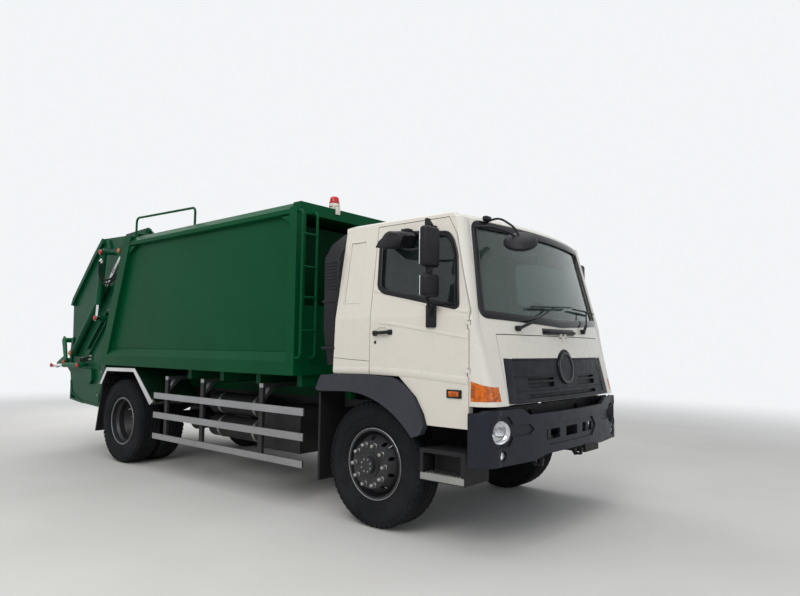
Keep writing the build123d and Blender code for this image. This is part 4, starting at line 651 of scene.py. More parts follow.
# Door fittings
WINDOW_OUTLINE = [
    (39, 2365), (57, 2018), (115, 1973), (880, 1815), (835, 2230),
    (790, 2350), (735, 2412), (94, 2480), (50, 2440),
]
WINDOW_CORNER = 34
WINDOW_RUBBER = (0.044, 0.009)
WINDOW_TRIM = (0.05, 0.012)
DOOR_DEPTH = 62
BELT_CREASE = [(-6, 1994), (590, 1843), (985, 1778)]
LOWER_CREASE = [(95, 1712), (300, 1690), (985, 1583)]
SILL_CREASE = [(-6, 1306), (404, 1300), (985, 1262)]
CREASE_SECTION = (0.030, 0.0045)
SILL_SECTION = (0.060, 0.006)
HANDLE_HEIGHT = 1626
HANDLE_ENDS = ((48, HANDLE_HEIGHT - 4), (214, HANDLE_HEIGHT + 4))
HANDLE_REACH = 30
MARKER_LAMP = ((793, 931), (1128, 1192))


def window_seals(side_name, side):
    """Rubber round the door's window, and the trim inside it."""
    door = f"door_{side_name}"
    seal = on_side(WINDOW_OUTLINE, side, 0, WINDOW_CORNER, True)
    moulding(f"window_rubber_{side_name}", door, "gloss_black", [seal], *WINDOW_RUBBER, True, 50)
    path, normals = on_side(WINDOW_OUTLINE, side, -DOOR_DEPTH, WINDOW_CORNER, True)
    inward = [-normal for normal in normals]
    moulding(f"window_trim_{side_name}", door, "trim", [(path, inward)], *WINDOW_TRIM, True, 50)


def door_creases(side_name, side):
    """Pressed creases across the door."""
    creases = Shape()
    ribs_on_side(creases, (BELT_CREASE, LOWER_CREASE), side, *CREASE_SECTION)
    ribs_on_side(creases, (SILL_CREASE,), side, *SILL_SECTION)
    creases.finish(f"door_creases_{side_name}", f"door_{side_name}", "cab_white", 60)


def door_handle(side_name, side):
    """Bow handle on two feet with the lock under it, and the edge of its recess."""
    door = f"door_{side_name}"
    (rear, low), (front, high) = HANDLE_ENDS
    handle = Shape()
    handle.tube([
        cab_side(rear, low, side, -2), cab_side(rear + 2, low, side, HANDLE_REACH),
        cab_side(front - 2, high, side, HANDLE_REACH), cab_side(front, high, side, -2),
    ], 0.014, 16, 0.02)
    for x, z in HANDLE_ENDS:
        handle.rounded(cab_side(x - 24, z - 22, side, -3), cab_side(x + 24, z + 22, side, 12), 0.008)
    lock = (rear + 2, HANDLE_HEIGHT - 80, side)
    handle.rod(cab_side(*lock, -2), cab_side(*lock, 6), 0.013, 20, 0.002)
    handle.finish(f"door_handle_{side_name}", door, "black")
    angles = [pi * step / 10 for step in range(11)]
    arc = [(130 - 66 * cos(angle), HANDLE_HEIGHT + 16 + 34 * sin(angle)) for angle in angles]
    moulding(f"handle_recess_{side_name}", door, "cab_white", [on_side(arc, side, -2)], 0.012, 0.005)


def marker_lamp(side_name, side):
    """Amber lamp low on the door, in its bezel."""
    door = f"door_{side_name}"
    (rear, front), (low, high) = MARKER_LAMP
    bezel = Shape()
    bezel.rounded(cab_side(rear, low, side, -3), cab_side(front, high, side, 13), 0.012, 4)
    bezel.finish(f"marker_bezel_{side_name}", door, "black")
    marker = Shape()
    marker.rounded(
        cab_side(rear + 22, low + 12, side, 4), cab_side(front - 22, high - 12, side, 21), 0.012, 4
    )
    marker.finish(f"marker_lens_{side_name}", door, "amber")


for side_name, side in SIDES:
    window_seals(side_name, side)
    door_creases(side_name, side)
    door_handle(side_name, side)
    marker_lamp(side_name, side)

# Rear quarters: creases in line with those of the doors, and a seam
QUARTER_CREASES = ([(-350, 1890), (-153, 1890)], [(-350, 1890), (-331, 2440)], [(-331, 2440), (-153, 2440)])
QUARTER_SILL = [(-446, 1300), (-18, 1306)]
QUARTER_SEAM = [(-448, 1407), (-18, 1387)]
for side_name, side in SIDES:
    quarter = Shape()
    ribs_on_side(quarter, QUARTER_CREASES, side, 0.016, 0.004)
    ribs_on_side(quarter, (QUARTER_SILL,), side, *SILL_SECTION)
    quarter.finish(f"quarter_creases_{side_name}", "cab", "cab_white", 60)
    seam_line = on_side(QUARTER_SEAM, side, -1)
    moulding(f"quarter_seam_{side_name}", "cab", "black", [seam_line], 0.005, 0.0015)

# Windscreen: its rubber, the dark border inside the glass, and the sun visors
SCREEN_OUTLINE = [(-1062, 1768), (0, 1722), (1062, 1768), (945, 2505), (-945, 2505)]
SCREEN_CORNER = 60
FRIT_SHARE = 0.965
FRIT_FOOT = 1760
screen_edge = on_front(SCREEN_OUTLINE, 0, bend=SCREEN_CORNER, closed=True)
moulding("windscreen_rubber", "cab", "gloss_black", [screen_edge], 0.064, 0.010, True, 50)
frit_outline = [(y * FRIT_SHARE, FRIT_FOOT + (z - FRIT_FOOT) * FRIT_SHARE) for y, z in SCREEN_OUTLINE]
frit_edge = on_front(frit_outline, -24, bend=SCREEN_CORNER, closed=True)
moulding("windscreen_frit", "cab", "black", [frit_edge], 0.060, 0.003, True, 50)
paired("sun_visors", "cab", "trim", ((790, 220, 2300), (812, 820, 2470), 0.01))


# Wipers: a jointed arm, and a blade of rubber under a bowed holder
def wiper(name, pivot, tip, blade):
    """One wiper, from (y, z) places of its pivot, its arm's tip and its blade's ends."""
    pivot, tip, start, end = (Vector(place) for place in (pivot, tip, *blade))
    knee = pivot.lerp(tip, 0.3)
    arm = Shape()
    arm.rod(cab_front(*pivot, -15), cab_front(*pivot, 38), 0.022, 20, 0.004)
    arm.tube([cab_front(*pivot, 26), cab_front(*knee, 44)], 0.013, 10)
    arm.tube([cab_front(*knee, 44), cab_front(*tip, 40)], 0.007, 10)
    arm.strip(on_front(blade, 26, 80), 0.012, 0.012)
    arm.strip(on_front(blade, 12, 80), 0.006, 0.018)
    for share in (0.12, 0.36, 0.64, 0.88):
        clip = start.lerp(end, share)
        arm.rod(cab_front(*clip, 14), cab_front(*clip, 44), 0.006, 10)
    arm.tube([cab_front(*start, 36), cab_front(*tip, 46), cab_front(*end, 36)], 0.006, 8, 0.1)
    arm.finish(name, "cab", "black")


wiper("wiper_right", (-701, 1667), (-120, 1868), [(-470, 1852), (230, 1884)])
wiper("wiper_left", (452, 1668), (640, 1868), [(300, 1872), (960, 1862)])

# Grab handle above the front lid, in a dark recess
GRAB_HEIGHT = 1649
recess_line = on_front([(-345, GRAB_HEIGHT + 2), (245, GRAB_HEIGHT + 2)], -1)
moulding("grab_recess", "cab", "gloss_black", [recess_line], 0.054, 0.006, smooth=50)
grab_bar = Shape()
grab_bar.tube([
    cab_front(y, GRAB_HEIGHT, proud)
    for y, proud in ((-300, -4), (-296, 34), (-50, 40), (196, 34), (200, -4))
], 0.013, 14, 0.02)
grab_bar.finish("grab_bar", "cab", "black")

# Front lid: dark ring round the bare oval, ribs of the grille, and dark strips behind its slots as painted
# shade in them
GRILLE_OVAL = Vector((0, 1345))
OVAL_RADII = (128, 125)
GRILLE_RIBS = (
    # height, ends across
    (1420, -800, -175), (1420, 175, 800), (1180, -835, 835), (1290, -812, -168), (1290, 168, 812),
)
GRILLE_SLOTS = (
    # ends across, lower and upper edge
    (-640, 640, 1116, 1146), (230, 640, 1196, 1236), (-640, -230, 1196, 1236),
    (230, 640, 1252, 1272), (-640, -230, 1252, 1272),
)
SLOT_OVERLAP = 12
oval = [GRILLE_OVAL + spoke for spoke in spokes(Vector((OVAL_RADII[0], 0)), Vector((0, OVAL_RADII[1])), 48)]
moulding("grille_ring", "front_lid", "gloss_black", [on_front(oval, -2, 500, 0, True)], 0.030, 0.014, True)
rib_lines = [on_front([(start, z), (end, z)], -7) for z, start, end in GRILLE_RIBS]
moulding("grille_ribs", "front_lid", "grille", rib_lines, 0.014, 0.006)
# Black strips just behind the slots: painted shade in the slots
slot_shade = Shape()
for y_low, y_high, z_low, z_high in GRILLE_SLOTS:
    middle_z = (z_low + z_high) / 2
    line = on_front([(y_low - SLOT_OVERLAP, middle_z), (y_high + SLOT_OVERLAP, middle_z)], -38)
    slot_shade.strip(line, (z_high - z_low + 2 * SLOT_OVERLAP) / 1000, 0.003)
slot_shade.finish("grille_slot_shade", "front_lid", "black", 60)

# Grille: its ends up to the lid's edges, and its lower lip
GRILLE_END = ((868, 1428), (897, 1086))
GRILLE_LIP = [(-846, 1098), (846, 1098)]
grille_ends = Shape()
for side in BOTH:
    grille_ends.strip(on_front([(side * y, z) for y, z in GRILLE_END], -1), 0.106, 0.004)
grille_ends.strip(on_front(GRILLE_LIP, -1), 0.030, 0.004)
grille_ends.finish("grille_ends", "front_lid", "grille", 60)

# Kerb mirror: a round hood on two arms
KERB_MIRROR = at(1165, -730, 2355)
KERB_AXIS = Vector((0.27, -0.48, 0.74)).normalized()
kerb = Shape()
kerb.lathe(KERB_MIRROR, KERB_AXIS, [
    (-0.018, 0.02), (-0.020, 0.128), (-0.012, 0.136), (0.006, 0.135),
    (0.026, 0.118), (0.040, 0.085), (0.048, 0.045), (0.050, 0.004),
], 48, False)
kerb.tube([
    cab_front(-930, 2480, -6), at(1000, -900, 2470), at(1120, -800, 2420), KERB_MIRROR - KERB_AXIS * 0.01,
], 0.010, 12, 0.05)
kerb.tube([
    cab_front(-800, 2535, -10), at(1010, -800, 2560), at(1130, -760, 2470), KERB_MIRROR + KERB_AXIS * 0.02,
], 0.009, 12, 0.06)
kerb.blocks(1, ((880, -850, 2540), (925, -770, 2580), 0.01))
kerb.finish("kerb_mirror", "cab", "black")
kerb_glass = Shape()
kerb_glass.lathe(
    KERB_MIRROR - KERB_AXIS * 0.021, KERB_AXIS, [(-0.004, 0.01), (-0.002, 0.118), (0.002, 0.12)], 40, False
)
kerb_glass.finish("kerb_mirror_glass", "cab", "chrome")

# Air intake duct behind the cab, with louvres at its head and two straps
DUCT_SECTIONS = (
    # height, outer y, front place, rear place
    (1340, -1150, -453, -600), (1660, -1209, -438, -600), (2312, -1209, -409, -600),
    (2450, -1120, -402, -600), (2545, -1050, -398, -500),
)
DUCT_INNER = -985
DUCT_BEVEL = 18
DUCT_LOUVRES = range(2020, 2290, 30)
DUCT_STRAPS = (1480, 1900)
duct = Shape()
duct.faces_from([[
    at(front, DUCT_INNER, z), at(rear, DUCT_INNER, z), at(rear, outer + DUCT_BEVEL, z),
    at(rear + DUCT_BEVEL, outer, z), at(front - DUCT_BEVEL, outer, z), at(front, outer + DUCT_BEVEL, z),
] for z, outer, front, rear in DUCT_SECTIONS])
for z in DUCT_LOUVRES:
    duct.blocks(1, ((-585, -1213, z), (-425, -1205, z + 14), 0.003, 2))
for z in DUCT_STRAPS:
    duct.blocks(1, ((-604, -1213, z), (-440, -990, z + 26), 0.004, 2))
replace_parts(duct.finish("intake_duct", "cab", "black"), "cab_fittings")

# Marker lamps at the roof's front corners
paired("roof_marker_lamps", "cab", "clear_lens", ((655, 970, 2552), (775, 1060, 2590), 0.018, 4))

# Door mirrors
MIRROR_POST = (700, 1340)


def door_mirrors(side_name, side):
    """Two mirror heads on a post between an upper and a lower arm."""
    door = f"door_{side_name}"
    arms = Shape()
    arms.blocks(
        side,
        ((596, 1200, 1662), (690, 1228, 1842), 0.010),
        ((575, 1112, 2440), (626, 1150, 2486), 0.008),
        ((684, 1318, 2420), (716, 1362, 2500), 0.008),
    )
    arms.pipe(side, ((650, 1222, 1760), (672, 1290, 1850), (*MIRROR_POST, 1870)), 0.015, 14, 0.05)
    arms.pipe(side, ((*MIRROR_POST, 1862), (*MIRROR_POST, 2478)), 0.017, 16)
    arms.pipe(side, (
        (*MIRROR_POST, 2440), (*MIRROR_POST, 2490), (640, 1230, 2494), (600, 1125, 2462),
    ), 0.013, 14, 0.05)
    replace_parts(arms.finish(f"mirror_arms_{side_name}", door, "black"), f"mirrors_{side_name}")
    heads = Shape()
    heads.blocks(
        side,
        ((688, 1258, 2118), (768, 1440, 2432), 0.030, 4),
        ((690, 1262, 1888), (772, 1436, 2066), 0.034, 4),
        ((705, 1325, 2060), (745, 1372, 2124), 0.012),
    )
    heads.finish(f"mirror_heads_{side_name}", door, "black")
    glasses = Shape()
    glasses.blocks(
        side,
        ((684, 1272, 2136), (692, 1426, 2414), 0.003, 2),
        ((686, 1276, 1902), (694, 1422, 2052), 0.003, 2),
    )
    glasses.finish(f"mirror_glass_{side_name}", door, "chrome")


for side_name, side in SIDES:
    door_mirrors(side_name, side)

# Kerb view mirror on the passenger's door: a hood that looks down, on a bent arm
HOOD_OUTLINE = [
    (138, 2345), (166, 2392), (225, 2428), (330, 2462), (412, 2442), (436, 2412), (398, 2330), (260, 2322),
]
HOOD_INNER, HOOD_OUTER = -1150, -1316
HOOD_CROWN = 18
HOOD_CROWN_SHARE = 0.82
hood = Shape()
outer_face = [at(x, HOOD_OUTER, z - 16) for x, z in HOOD_OUTLINE]
inner_face = [at(x, HOOD_INNER, z + 6) for x, z in HOOD_OUTLINE]
hood_middle = sum(outer_face, Vector()) / len(outer_face)
crown = [hood_middle.lerp(point, HOOD_CROWN_SHARE) + across(-HOOD_CROWN) for point in outer_face]
hood.faces_from([inner_face, outer_face, crown])
hood.pipe(1, (
    (300, -1200, 2360), (420, -1280, 2290), (560, -1310, 2270), (700, -1340, 2290),
), 0.010, 12, 0.06)
hood.blocks(1, ((300, -1120, 2440), (380, -1190, 2486), 0.01))
hood.finish("door_top_mirror", "door_right", "black", 50)

# Headlamps and fog lamps: housing, reflector, bulb and domed lens
ROUND_LAMPS = (
    # place, facing ahead and outwards, radius, depth
    ((1090, 1002, 885), (0.865, 0.502), 0.0912, 0.094), ((1120, 1039, 715), (1, 0), 0.0378, 0.055),
)


def round_lamp(parts, origin, axis, radius, depth):
    """Adds one round lamp to the gathered lenses, reflectors and rings."""
    lenses, reflectors, rings = parts
    lenses.lathe(origin, axis, [(depth + along, radius * share) for along, share in (
        (-0.004, 0.96), (0.004, 0.78), (0.009, 0.4), (0.011, 0.02),
        (0.008, 0.02), (0.006, 0.4), (0.001, 0.78), (-0.008, 0.96),
    )], 40)
    reflectors.lathe(origin, axis, [(along, radius * share) for along, share in (
        (0.006, 0.05), (0.010, 0.30), (depth * 0.45, 0.62), (depth - 0.012, 0.90),
        (depth - 0.012, 0.94), (depth * 0.40, 0.70), (0.002, 0.34), (0.0, 0.05),
    )], 40)
    reflectors.lathe(origin, axis, [(along, radius * share) for along, share in (
        (0.006, 0.02), (0.006, 0.16), (depth * 0.5, 0.16), (depth * 0.62, 0.10), (depth * 0.66, 0.02),
    )], 24, False)
    rings.lathe(origin, axis, [(along, radius * share) for along, share in (
        (0.0, 0.95), (depth + 0.002, 0.95), (depth + 0.006, 0.97), (depth + 0.004, 1), (0.0, 1),
    )], 40)


lamp_parts = (Shape(), Shape(), Shape())
for side in BOTH:
    for (x, y, z), (ahead, out), radius, depth in ROUND_LAMPS:
        axis = Vector((ahead, side * out, 0)).normalized()
        round_lamp(lamp_parts, at(x, side * y, z), axis, radius, depth)
lenses, reflectors, rings = lamp_parts
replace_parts(lenses.finish("headlamp_lenses", "chassis", "lamp", 60), "headlamps")
reflectors.finish("headlamp_reflectors", "chassis", "chrome", 60)
rings.finish("headlamp_rings", "chassis", "gloss_black", 40)

# Step treads of ribbed sheet metal
TREAD_RIBS = range(604, 915, 31)
treads = Shape()
for side in BOTH:
    treads.blocks(side, ((587, 1084, 545), (933, 1226, 549)), ((562, 1225, 498), (968, 1229, 549)))
    for x in TREAD_RIBS:
        treads.blocks(side, ((x, 1096, 547), (x + 12, 1216, 554), 0.002, 2))
treads.finish("step_treads", "chassis", "steel")

# Wheels: domed nut caps, a bright metal ring on each rim's edge as a painted highlight, hub bolts and valves
STUD_CIRCLE = 0.1675
STUDS = 10
HUB_BOLTS = 8
WHEEL_ENDS = (
    # end, nuts' face, cap length, hub's face, hub bolts' circle, rim's outer face
    ("front", 1.190, 0.052, 1.238, 0.052, 1.143), ("rear", 0.926, 0.050, 1.035, 0.076, 1.1955),
)
for side_name, side in SIDES:
    axis = Vector((0, side, 0))
    for end, nut_face, cap_length, hub_face, bolt_circle, rim_face in WHEEL_ENDS:
        low, high = TYRE_BOX[end, side_name]
        centre = Vector(((low.x + high.x) / 2, 0, TYRE_RADIUS))
        cap_profile = [
            (0, 0.0225), (0.006, 0.0225), (0.008, 0.0195), (cap_length * 0.7, 0.0185),
            (cap_length * 0.92, 0.013), (cap_length, 0.004),
        ]
        caps = Shape()
        for spoke in spokes(FORWARD, UP, STUDS):
            caps.lathe(centre + axis * nut_face + spoke * STUD_CIRCLE, axis, cap_profile, 16, False)
        caps.finish(f"nut_caps_{end}_{side_name}", f"wheel_{end}_{side_name}", "steel")
        trim = Shape()
        # Bright metal ring at the rim's outer edge: a painted highlight for the dark rim's lit flange
        highlight_ring_profile = [(-0.012, 0.2985), (0.001, 0.2985), (0.003, 0.2955), (0.001, 0.2915), (-0.010, 0.2915)]
        trim.lathe(centre + axis * rim_face, axis, highlight_ring_profile, 64)
        for spoke in spokes(FORWARD, UP, HUB_BOLTS, 0.5):
            trim.bolt(centre + axis * (hub_face - 0.002) + spoke * bolt_circle, axis, 0.008, 0.010, 0.001)
        valve = centre + axis * (rim_face - 0.045) + Vector((0.19, 0, 0.17))
        trim.tube([valve, valve + axis * 0.03, valve + axis * 0.052 - Vector((0.02, 0, 0.02))], 0.005, 8)
        trim.finish(f"rim_trim_{end}_{side_name}", f"wheel_{end}_{side_name}", "guard")

# Compactor body: corner gussets and welds of the side panels
PARTING_FOOT = (-4960, 1261)
PARTING_SLOPE = 542 / 1616


def parting_x(height):
    """Rear face of the compactor body at a height, ahead of the front axle."""
    return PARTING_FOOT[0] + (height - PARTING_FOOT[1]) * PARTING_SLOPE


PANEL_FACE = 1184
PANEL_TOP = 2775
PANEL_FOOT = 1452
PANEL_FRONT = -1062
POST_DEPTH = 178
GUSSET_LENGTH = 150
GUSSET_RISE = 95
TOP_GUSSET_DEPTH, FOOT_GUSSET_DEPTH = 48, 16
gussets = Shape()
for side in BOTH:
    rear_x = parting_x(PANEL_TOP - 5) + POST_DEPTH
    for corner, far in ((rear_x, rear_x + GUSSET_LENGTH), (PANEL_FRONT, PANEL_FRONT - GUSSET_LENGTH)):
        tip = (corner - (far - corner) * 0.15, PANEL_TOP - GUSSET_RISE)
        outline = [(corner, PANEL_TOP), (far, PANEL_TOP), tip]
        gussets.plate(outline, side, PANEL_FACE, PANEL_FACE + TOP_GUSSET_DEPTH)
    foot_x = parting_x(PANEL_FOOT - 2) + POST_DEPTH
    outline = [(foot_x, PANEL_FOOT), (foot_x + 120, PANEL_FOOT), (foot_x + 30, PANEL_FOOT + 93)]
    gussets.plate(outline, side, PANEL_FACE, PANEL_FACE + FOOT_GUSSET_DEPTH)
gussets.finish("panel_gussets", "chassis", "body_green")

WELD_FACE = PANEL_FACE + 2
WELD_RADIUS = 0.005
WELD_BACK = POST_DEPTH + 6
WELD_LINES = (
    ((parting_x(2769) + WELD_BACK, 2769), (PANEL_FRONT - 2, 2769)),
    ((parting_x(1456) + WELD_BACK, 1456), (PANEL_FRONT - 2, 1456)),
    ((PANEL_FRONT - 1, 1460), (PANEL_FRONT - 1, 2765)),
    ((parting_x(1460) + WELD_BACK, 1460), (parting_x(2765) + WELD_BACK, 2765)),
)
welds = Shape()
for side in BOTH:
    for line in WELD_LINES:
        welds.pipe(side, [(x, WELD_FACE, z) for x, z in line], WELD_RADIUS, 8)
welds.finish("panel_welds", "chassis", "body_green")

# Beacon: a ribbed red dome on a white foot
BEACON = (-1000, -710)
BEACON_SEAT = 2938
beacon_dome = Shape()
beacon_dome.lathe(at(*BEACON, BEACON_SEAT + 34), UP, [
    (0, 0.054), (0.012, 0.057), (0.014, 0.052), (0.030, 0.050),
    (0.058, 0.046), (0.070, 0.036), (0.076, 0.018), (0.077, 0.003),
], 32, False)
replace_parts(beacon_dome.finish("beacon_dome", "chassis", "red_lens", 60), "beacon")
beacon_base = Shape()
beacon_base.lathe(
    at(*BEACON, BEACON_SEAT), UP, [(0, 0.050), (0.002, 0.056), (0.026, 0.058), (0.034, 0.052)], 32, False
)
beacon_base.blocks(
    1, ((-1042, -752, 2903), (-958, -668, 2940), 0.006), ((-948, -742, 2850), (-940, -678, 2935), 0.003, 2)
)
beacon_base.finish("beacon_base", "chassis", "cab_white")

# Tailgate: pin caps, hoses with their fittings, bolts, brackets and lamps
PIN_CAPS = (
    # place ahead and height, outer face of the pin, radius, body, look
    (-5090, 2775, 1241, 0.036, "tailgate", "red"), (-5200, 1865, 1221, 0.036, "carriage", "red"),
    (-6137, 1366, 1150, 0.038, "tailgate", "orange"), (-5773, 1198, 1188, 0.032, "tailgate", "red"),
    (-6442, 1225, 1110, 0.034, "tailgate", "red"), (-6735, 1172, 1170, 0.032, "bin_lifter", "red"),
    (-4700, 2768, 1170, 0.032, "chassis", "orange"),
)
for x, z, face, radius, body, look in PIN_CAPS:
    cap = Shape()
    cap_profile = [(0, radius), (0.012, radius), (0.018, radius * 0.8), (0.020, radius * 0.35)]
    for side in BOTH:
        cap.lathe(at(x, side * (face - 2), z), (0, side, 0), cap_profile, 24, False)
        cap.bolt(at(x, side * (face + 14), z), (0, side, 0), 0.011, 0.014, 0.001)
    cap.finish(f"pin_caps_{-x}", body, look)

HOSES = (
    # radius, (ahead, y, z) points on the right side; the left side has the same
    (0.012, [(-5052, -1236, 2672), (-5052, -1262, 2640), (-5066, -1264, 2480), (-4960, -1262, 2335),
             (-4810, -1240, 2312), (-4690, -1180, 2410), (-4650, -1110, 2560), (-4640, -1068, 2610)]),
    (0.012, [(-5030, -1236, 2640), (-5010, -1262, 2600), (-5030, -1270, 2500), (-4950, -1268, 2385),
             (-4820, -1246, 2360), (-4700, -1180, 2450), (-4640, -1110, 2520), (-4620, -1068, 2540)]),
    (0.010, [(-5880, -1056, 1286), (-5850, -1090, 1300), (-5780, -1104, 1262), (-5700, -1100, 1300),
             (-5640, -1072, 1330), (-5610, -1056, 1340)]),
    (0.010, [(-5960, -1056, 1250), (-5920, -1092, 1250), (-5830, -1100, 1310), (-5740, -1098, 1250),
             (-5660, -1080, 1280), (-5620, -1056, 1290)]),
)
HOSE_BEND = 0.16
FITTING_LENGTH = 0.045
hoses = Shape()
fittings = Shape()
for radius, points in HOSES:
    for side in BOTH:
        path = [at(x, -side * y, z) for x, y, z in points]
        hoses.tube(path, radius, 12, HOSE_BEND)
        for end, inner in ((path[0], path[1]), (path[-1], path[-2])):
            fittings.rod(end, end + (inner - end).normalized() * FITTING_LENGTH, radius * 1.45, 6, 0.001)
hoses.finish("tailgate_hoses", "tailgate", "rubber")
fittings.finish("hose_fittings", "tailgate", "steel")

RIM_BOLTS = range(800, 2081, 160)
SLOT_BOLTS = 6
SLOT_START, SLOT_END = Vector((-5160, 1985)), Vector((-5660, 1525))
bolts = Shape()
for side in BOTH:
    axis = Vector((0, side, 0))
    for z in RIM_BOLTS:
        bolts.bolt(at(parting_x(z) - 85, side * 1139, z), axis, 0.012, 0.012, 0.002)
    for index in range(SLOT_BOLTS):
        x, z = SLOT_START.lerp(SLOT_END, index / (SLOT_BOLTS - 1))
        bolts.bolt(at(x, side * 1049, z), axis, 0.011, 0.012, 0.002)
bolts.finish("tailgate_bolts", "tailgate", "steel")

SHELL_FACE = 1048
SHELL_BRACKETS = (
    # outer face, chamfer, (ahead, z) places
    (1100, 0.006, [(-5780, 1150), (-5520, 1150), (-5500, 1000), (-5560, 930), (-5700, 950)]),
    (1072, 0.004, [(-6300, 1600), (-6240, 1600), (-6290, 1160), (-6350, 1160)]),
    (1090, 0.004, [(-5330, 1180), (-5290, 1180), (-5200, 760), (-5240, 760)]),
    (1080, 0.004, [(-5300, 2985), (-5240, 2985), (-5150, 2860), (-5210, 2860)]),
)
PIPE_PATH = ((-6290, 1050, 950), (-6240, 1052, 780), (-5910, 1052, 660), (-5290, 1052, 632))
brackets = Shape()
for side in BOTH:
    for outer, chamfer, outline in SHELL_BRACKETS:
        brackets.plate(outline, side, SHELL_FACE, outer, chamfer)
    brackets.pipe(side, PIPE_PATH, 0.014, 10, 0.05)
brackets.finish("tailgate_brackets", "tailgate", "machine_green")

LENS_ENDS = ((655, 765), (775, 885), (895, 1000))
inner_lens, middle_lens, outer_lens = (
    ((-6422, inner, 866), (-6400, outer, 970), 0.010) for inner, outer in LENS_ENDS
)
paired("rear_lamp_cases", "tailgate", "black", ((-6410, 640, 850), (-6366, 1015, 985), 0.012))
paired("rear_lamps_red", "tailgate", "red_lens", inner_lens, outer_lens)
paired("rear_lamps_amber", "tailgate", "amber", middle_lens)

# Bin lifter: hooks along its bar
COMB_X = -6524
HOOK_OUTLINE = ((30, 1560), (-20, 1640), (-48, 1640), (-44, 1560))
HOOK_PLACES = range(-880, 881, 220)
HOOK_HALF = 8
hooks = Shape()
for y in HOOK_PLACES:
    outline = [at(COMB_X + x, y, z) for x, z in HOOK_OUTLINE]
    hooks.prism(outline, across(-HOOK_HALF), across(HOOK_HALF), 0.002)
hooks.rod(at(COMB_X, -1094, 1558), at(COMB_X, 1094, 1558), 0.0375, 28, 0.002)
hooks.finish("bin_hooks", "bin_lifter", "lifter_green")

# Dark sleeves on the side guards' posts
GUARD_POSTS = (-3300, -2550, -1500)
SLEEVE_HALF = 31
sleeves = [((x - SLEEVE_HALF, 1154, 384), (x + SLEEVE_HALF, 1186, 1089)) for x in GUARD_POSTS]
paired("guard_post_sleeves", "chassis", "chassis", *sleeves)

# Dark sheet across the frame's front behind the gap over the bumper, as painted shade in that gap, and a
# block on each frame rail
RAIL_MIDDLE = 380
gap_shade = Shape()
gap_shade.blocks(1, ((1078, -1180, 966), (1082, 1180, 1050)))
for side in BOTH:
    gap_shade.blocks(side, ((1040, RAIL_MIDDLE - 25, 958), (1080, RAIL_MIDDLE + 25, 985)))
gap_shade.finish("bumper_gap_shade_sheet", "chassis", "black")

# Straps of the fuel tank and the air tanks, and the fuel tank's neck
FUEL_STRAPS = (-2300, -1450)
STRAP_HALF = 25
AIR_STRAPS = (-2780, -2120)
AIR_TANK_HEIGHTS = (560, 830)
AIR_STRAP_RING = [(0, 0.125), (0, 0.129), (0.04, 0.129), (0.04, 0.125)]
straps = Shape()
for x in FUEL_STRAPS:
    rear, front = x - STRAP_HALF, x + STRAP_HALF
    straps.blocks(1, ((rear, 425, 900), (front, 1084, 904)), ((rear, 1080, 430), (front, 1084, 904)))
for x in AIR_STRAPS:
    for z in AIR_TANK_HEIGHTS:
        straps.lathe(at(x, -700, z), FORWARD, AIR_STRAP_RING, 40)
straps.rod(at(-1350, 900, 898), at(-1350, 900, 950), 0.05, 28, 0.006)
straps.finish("tank_straps", "chassis", "steel")

# Seats: crowned cushions, bolsters, backs and head rests
SEAT_PLACES = (-620, 0, 620)
BACK_PARTS = (
    # half width, half depth, from and up to which share of the back
    (0.220, 0.060, 0.0, 0.78), (0.130, 0.052, 0.82, 1.04),
)
BACK_CROWN = ((0, 0.6), (0.08, 0.92), (0.5, 1.0), (0.92, 0.92), (1, 0.6))
cushions = Shape()
bases = Shape()
for seat_y in SEAT_PLACES:
    cushions.blocks(1, ((-150, seat_y - 240, 1498), (335, seat_y + 240, 1622), 0.050, 5))
    for side in (-1, 1):
        cushions.blocks(1, ((-120, seat_y + side * 150, 1560), (320, seat_y + side * 238, 1640), 0.038, 4))
    back_low, back_high = at(-92, seat_y, 1640), at(-196, seat_y, 2185)
    lean = (back_high - back_low).normalized()
    front = Vector((lean.z, 0, -lean.x))
    for half_width, half_depth, low_share, high_share in BACK_PARTS:
        foot = back_low.lerp(back_high, low_share)
        head = back_low.lerp(back_high, high_share)
        around = spokes(Vector((0, half_width, 0)), front * half_depth, 24)
        cushions.faces_from([
            [foot.lerp(head, share) + spoke * pinch for spoke in around] for share, pinch in BACK_CROWN
        ])
    bases.blocks(1, ((-100, seat_y - 180, 1228), (280, seat_y + 180, 1502), 0.02))
piece = cushions.finish("seat_cushions", "cab", "fabric", 60)
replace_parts(piece, "seats")
bases.finish("seat_bases", "cab", "trim")

# Camera
CAMERA_PLACE = (3563, -5067, 1504)
CAMERA_YAW = 130.05
CAMERA_PITCH = 4.59
CAMERA_ROLL = 0.68
CAMERA_LENS = 27.79
CAMERA_SENSOR = 36
CAMERA_REACH = 200
camera_data = bpy.data.cameras.new("camera")
camera_data.lens = CAMERA_LENS
camera_data.sensor_width = CAMERA_SENSOR
camera_data.clip_end = CAMERA_REACH
camera = linked("camera", camera_data)
camera.matrix_world = (
    Matrix.Translation(at(*CAMERA_PLACE))
    @ Matrix.Rotation(radians(CAMERA_YAW - 90), 4, "Z")
    @ Matrix.Rotation(radians(CAMERA_PITCH + 90), 4, "X")
    @ Matrix.Rotation(radians(CAMERA_ROLL), 4, "Z")
)
bpy.context.scene.camera = camera

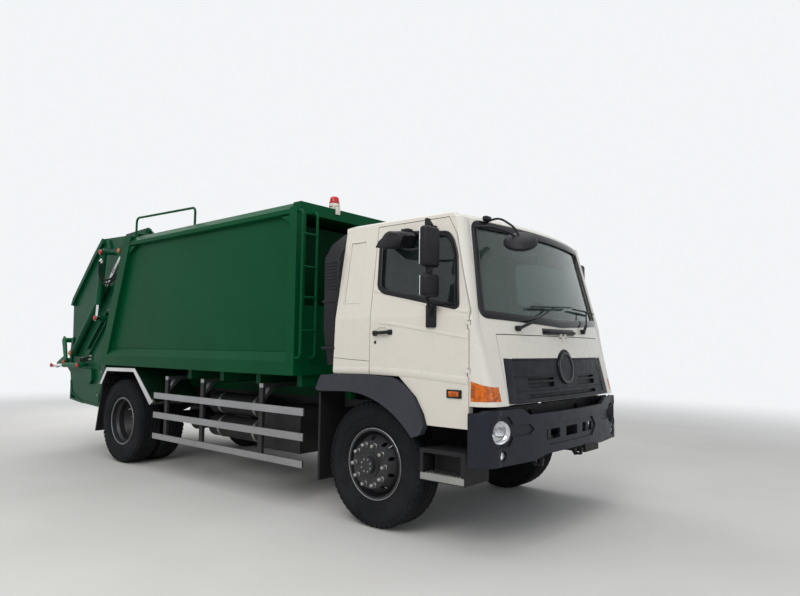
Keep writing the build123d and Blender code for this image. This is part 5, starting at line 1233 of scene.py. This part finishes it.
# Floor: far from the truck it takes the backdrop's tone for rays that show it
FLOOR_HALF = 60
FLOOR_COLOURS = ((0.60, 0.59, 0.57), (0.66, 0.65, 0.63))
FLOOR_FADE = (6, 16)
AMBIENT = 0.42
BACKDROP = 0.93
BACKDROP_COLOUR = (0.96, 0.98, 1.0)
concrete = Nodes()
concrete.material.name = "floor_concrete"
concrete.set(Base_Color=concrete.patchy(concrete.noise(0.6, 8), 0.3, 0.7, *FLOOR_COLOURS), Roughness=0.85)
distance = concrete.add("ShaderNodeVectorMath", {0: concrete.place}, operation="LENGTH").outputs["Value"]
seen = concrete.seen_by("Is Camera Ray", "Is Glossy Ray")
far_share = concrete.maths("MULTIPLY", concrete.fade(distance, *FLOOR_FADE), seen)
glow = concrete.add("ShaderNodeEmission", {"Color": BACKDROP_COLOUR, "Strength": BACKDROP}).outputs[0]
floor_mix = concrete.add("ShaderNodeMixShader", {0: far_share, 1: concrete.shader.outputs[0], 2: glow})
concrete.put(floor_mix.outputs[0], concrete.tree.nodes["Material Output"].inputs["Surface"])
floor_data = bpy.data.meshes.new("floor")
floor_corners = [(x * FLOOR_HALF, y * FLOOR_HALF, 0) for x, y in ((-1, -1), (1, -1), (1, 1), (-1, 1))]
floor_data.from_pydata(floor_corners, [], [(0, 1, 2, 3)])
floor_data.materials.append(concrete.material)
linked("floor", floor_data)

# Backdrop, brighter where it shows than where it lights
world = bpy.data.worlds.new("studio")
bpy.context.scene.world = world
world.use_nodes = True
sky = Graph(world.node_tree)
shown = sky.seen_by("Is Camera Ray", "Is Transmission Ray", "Is Glossy Ray")
level = sky.add("ShaderNodeMapRange", {"Value": shown, "To Min": AMBIENT, "To Max": BACKDROP})
background = sky.tree.nodes["Background"]
sky.put(level.outputs["Result"], background.inputs["Strength"])
sky.put(BACKDROP_COLOUR, background.inputs["Color"])

# Lamps
LAMP_GLARE = 0.35
LAMPS = (
    # name, place (ahead, y, z in mm), target, width m, power W, tint
    ("key", (2500, -9000, 8500), (-1500, -800, 1200), 7, 640, (1, 0.99, 0.97)),
    ("front_fill", (8500, -1500, 5000), (0, 0, 1400), 6, 110, (0.80, 0.90, 1)),
    ("top", (-2000, 0, 9500), (-2000, 0, 1000), 9, 330, (1, 1, 1)),
    ("rear_fill", (-10500, 3000, 5000), (-4000, 0, 1500), 6, 260, (1, 1, 1)),
)
for name, place, target, width, power, tint in LAMPS:
    lamp_data = bpy.data.lights.new(name, "AREA")
    lamp_data.size = width
    lamp_data.energy = power
    lamp_data.specular_factor = LAMP_GLARE
    lamp_data.color = tint
    lamp = linked(name, lamp_data)
    lamp.location = at(*place)
    lamp.rotation_mode = "QUATERNION"
    lamp.rotation_quaternion = (at(*target) - at(*place)).to_track_quat("-Z", "Y")

bpy.context.scene.view_settings.view_transform = "Standard"
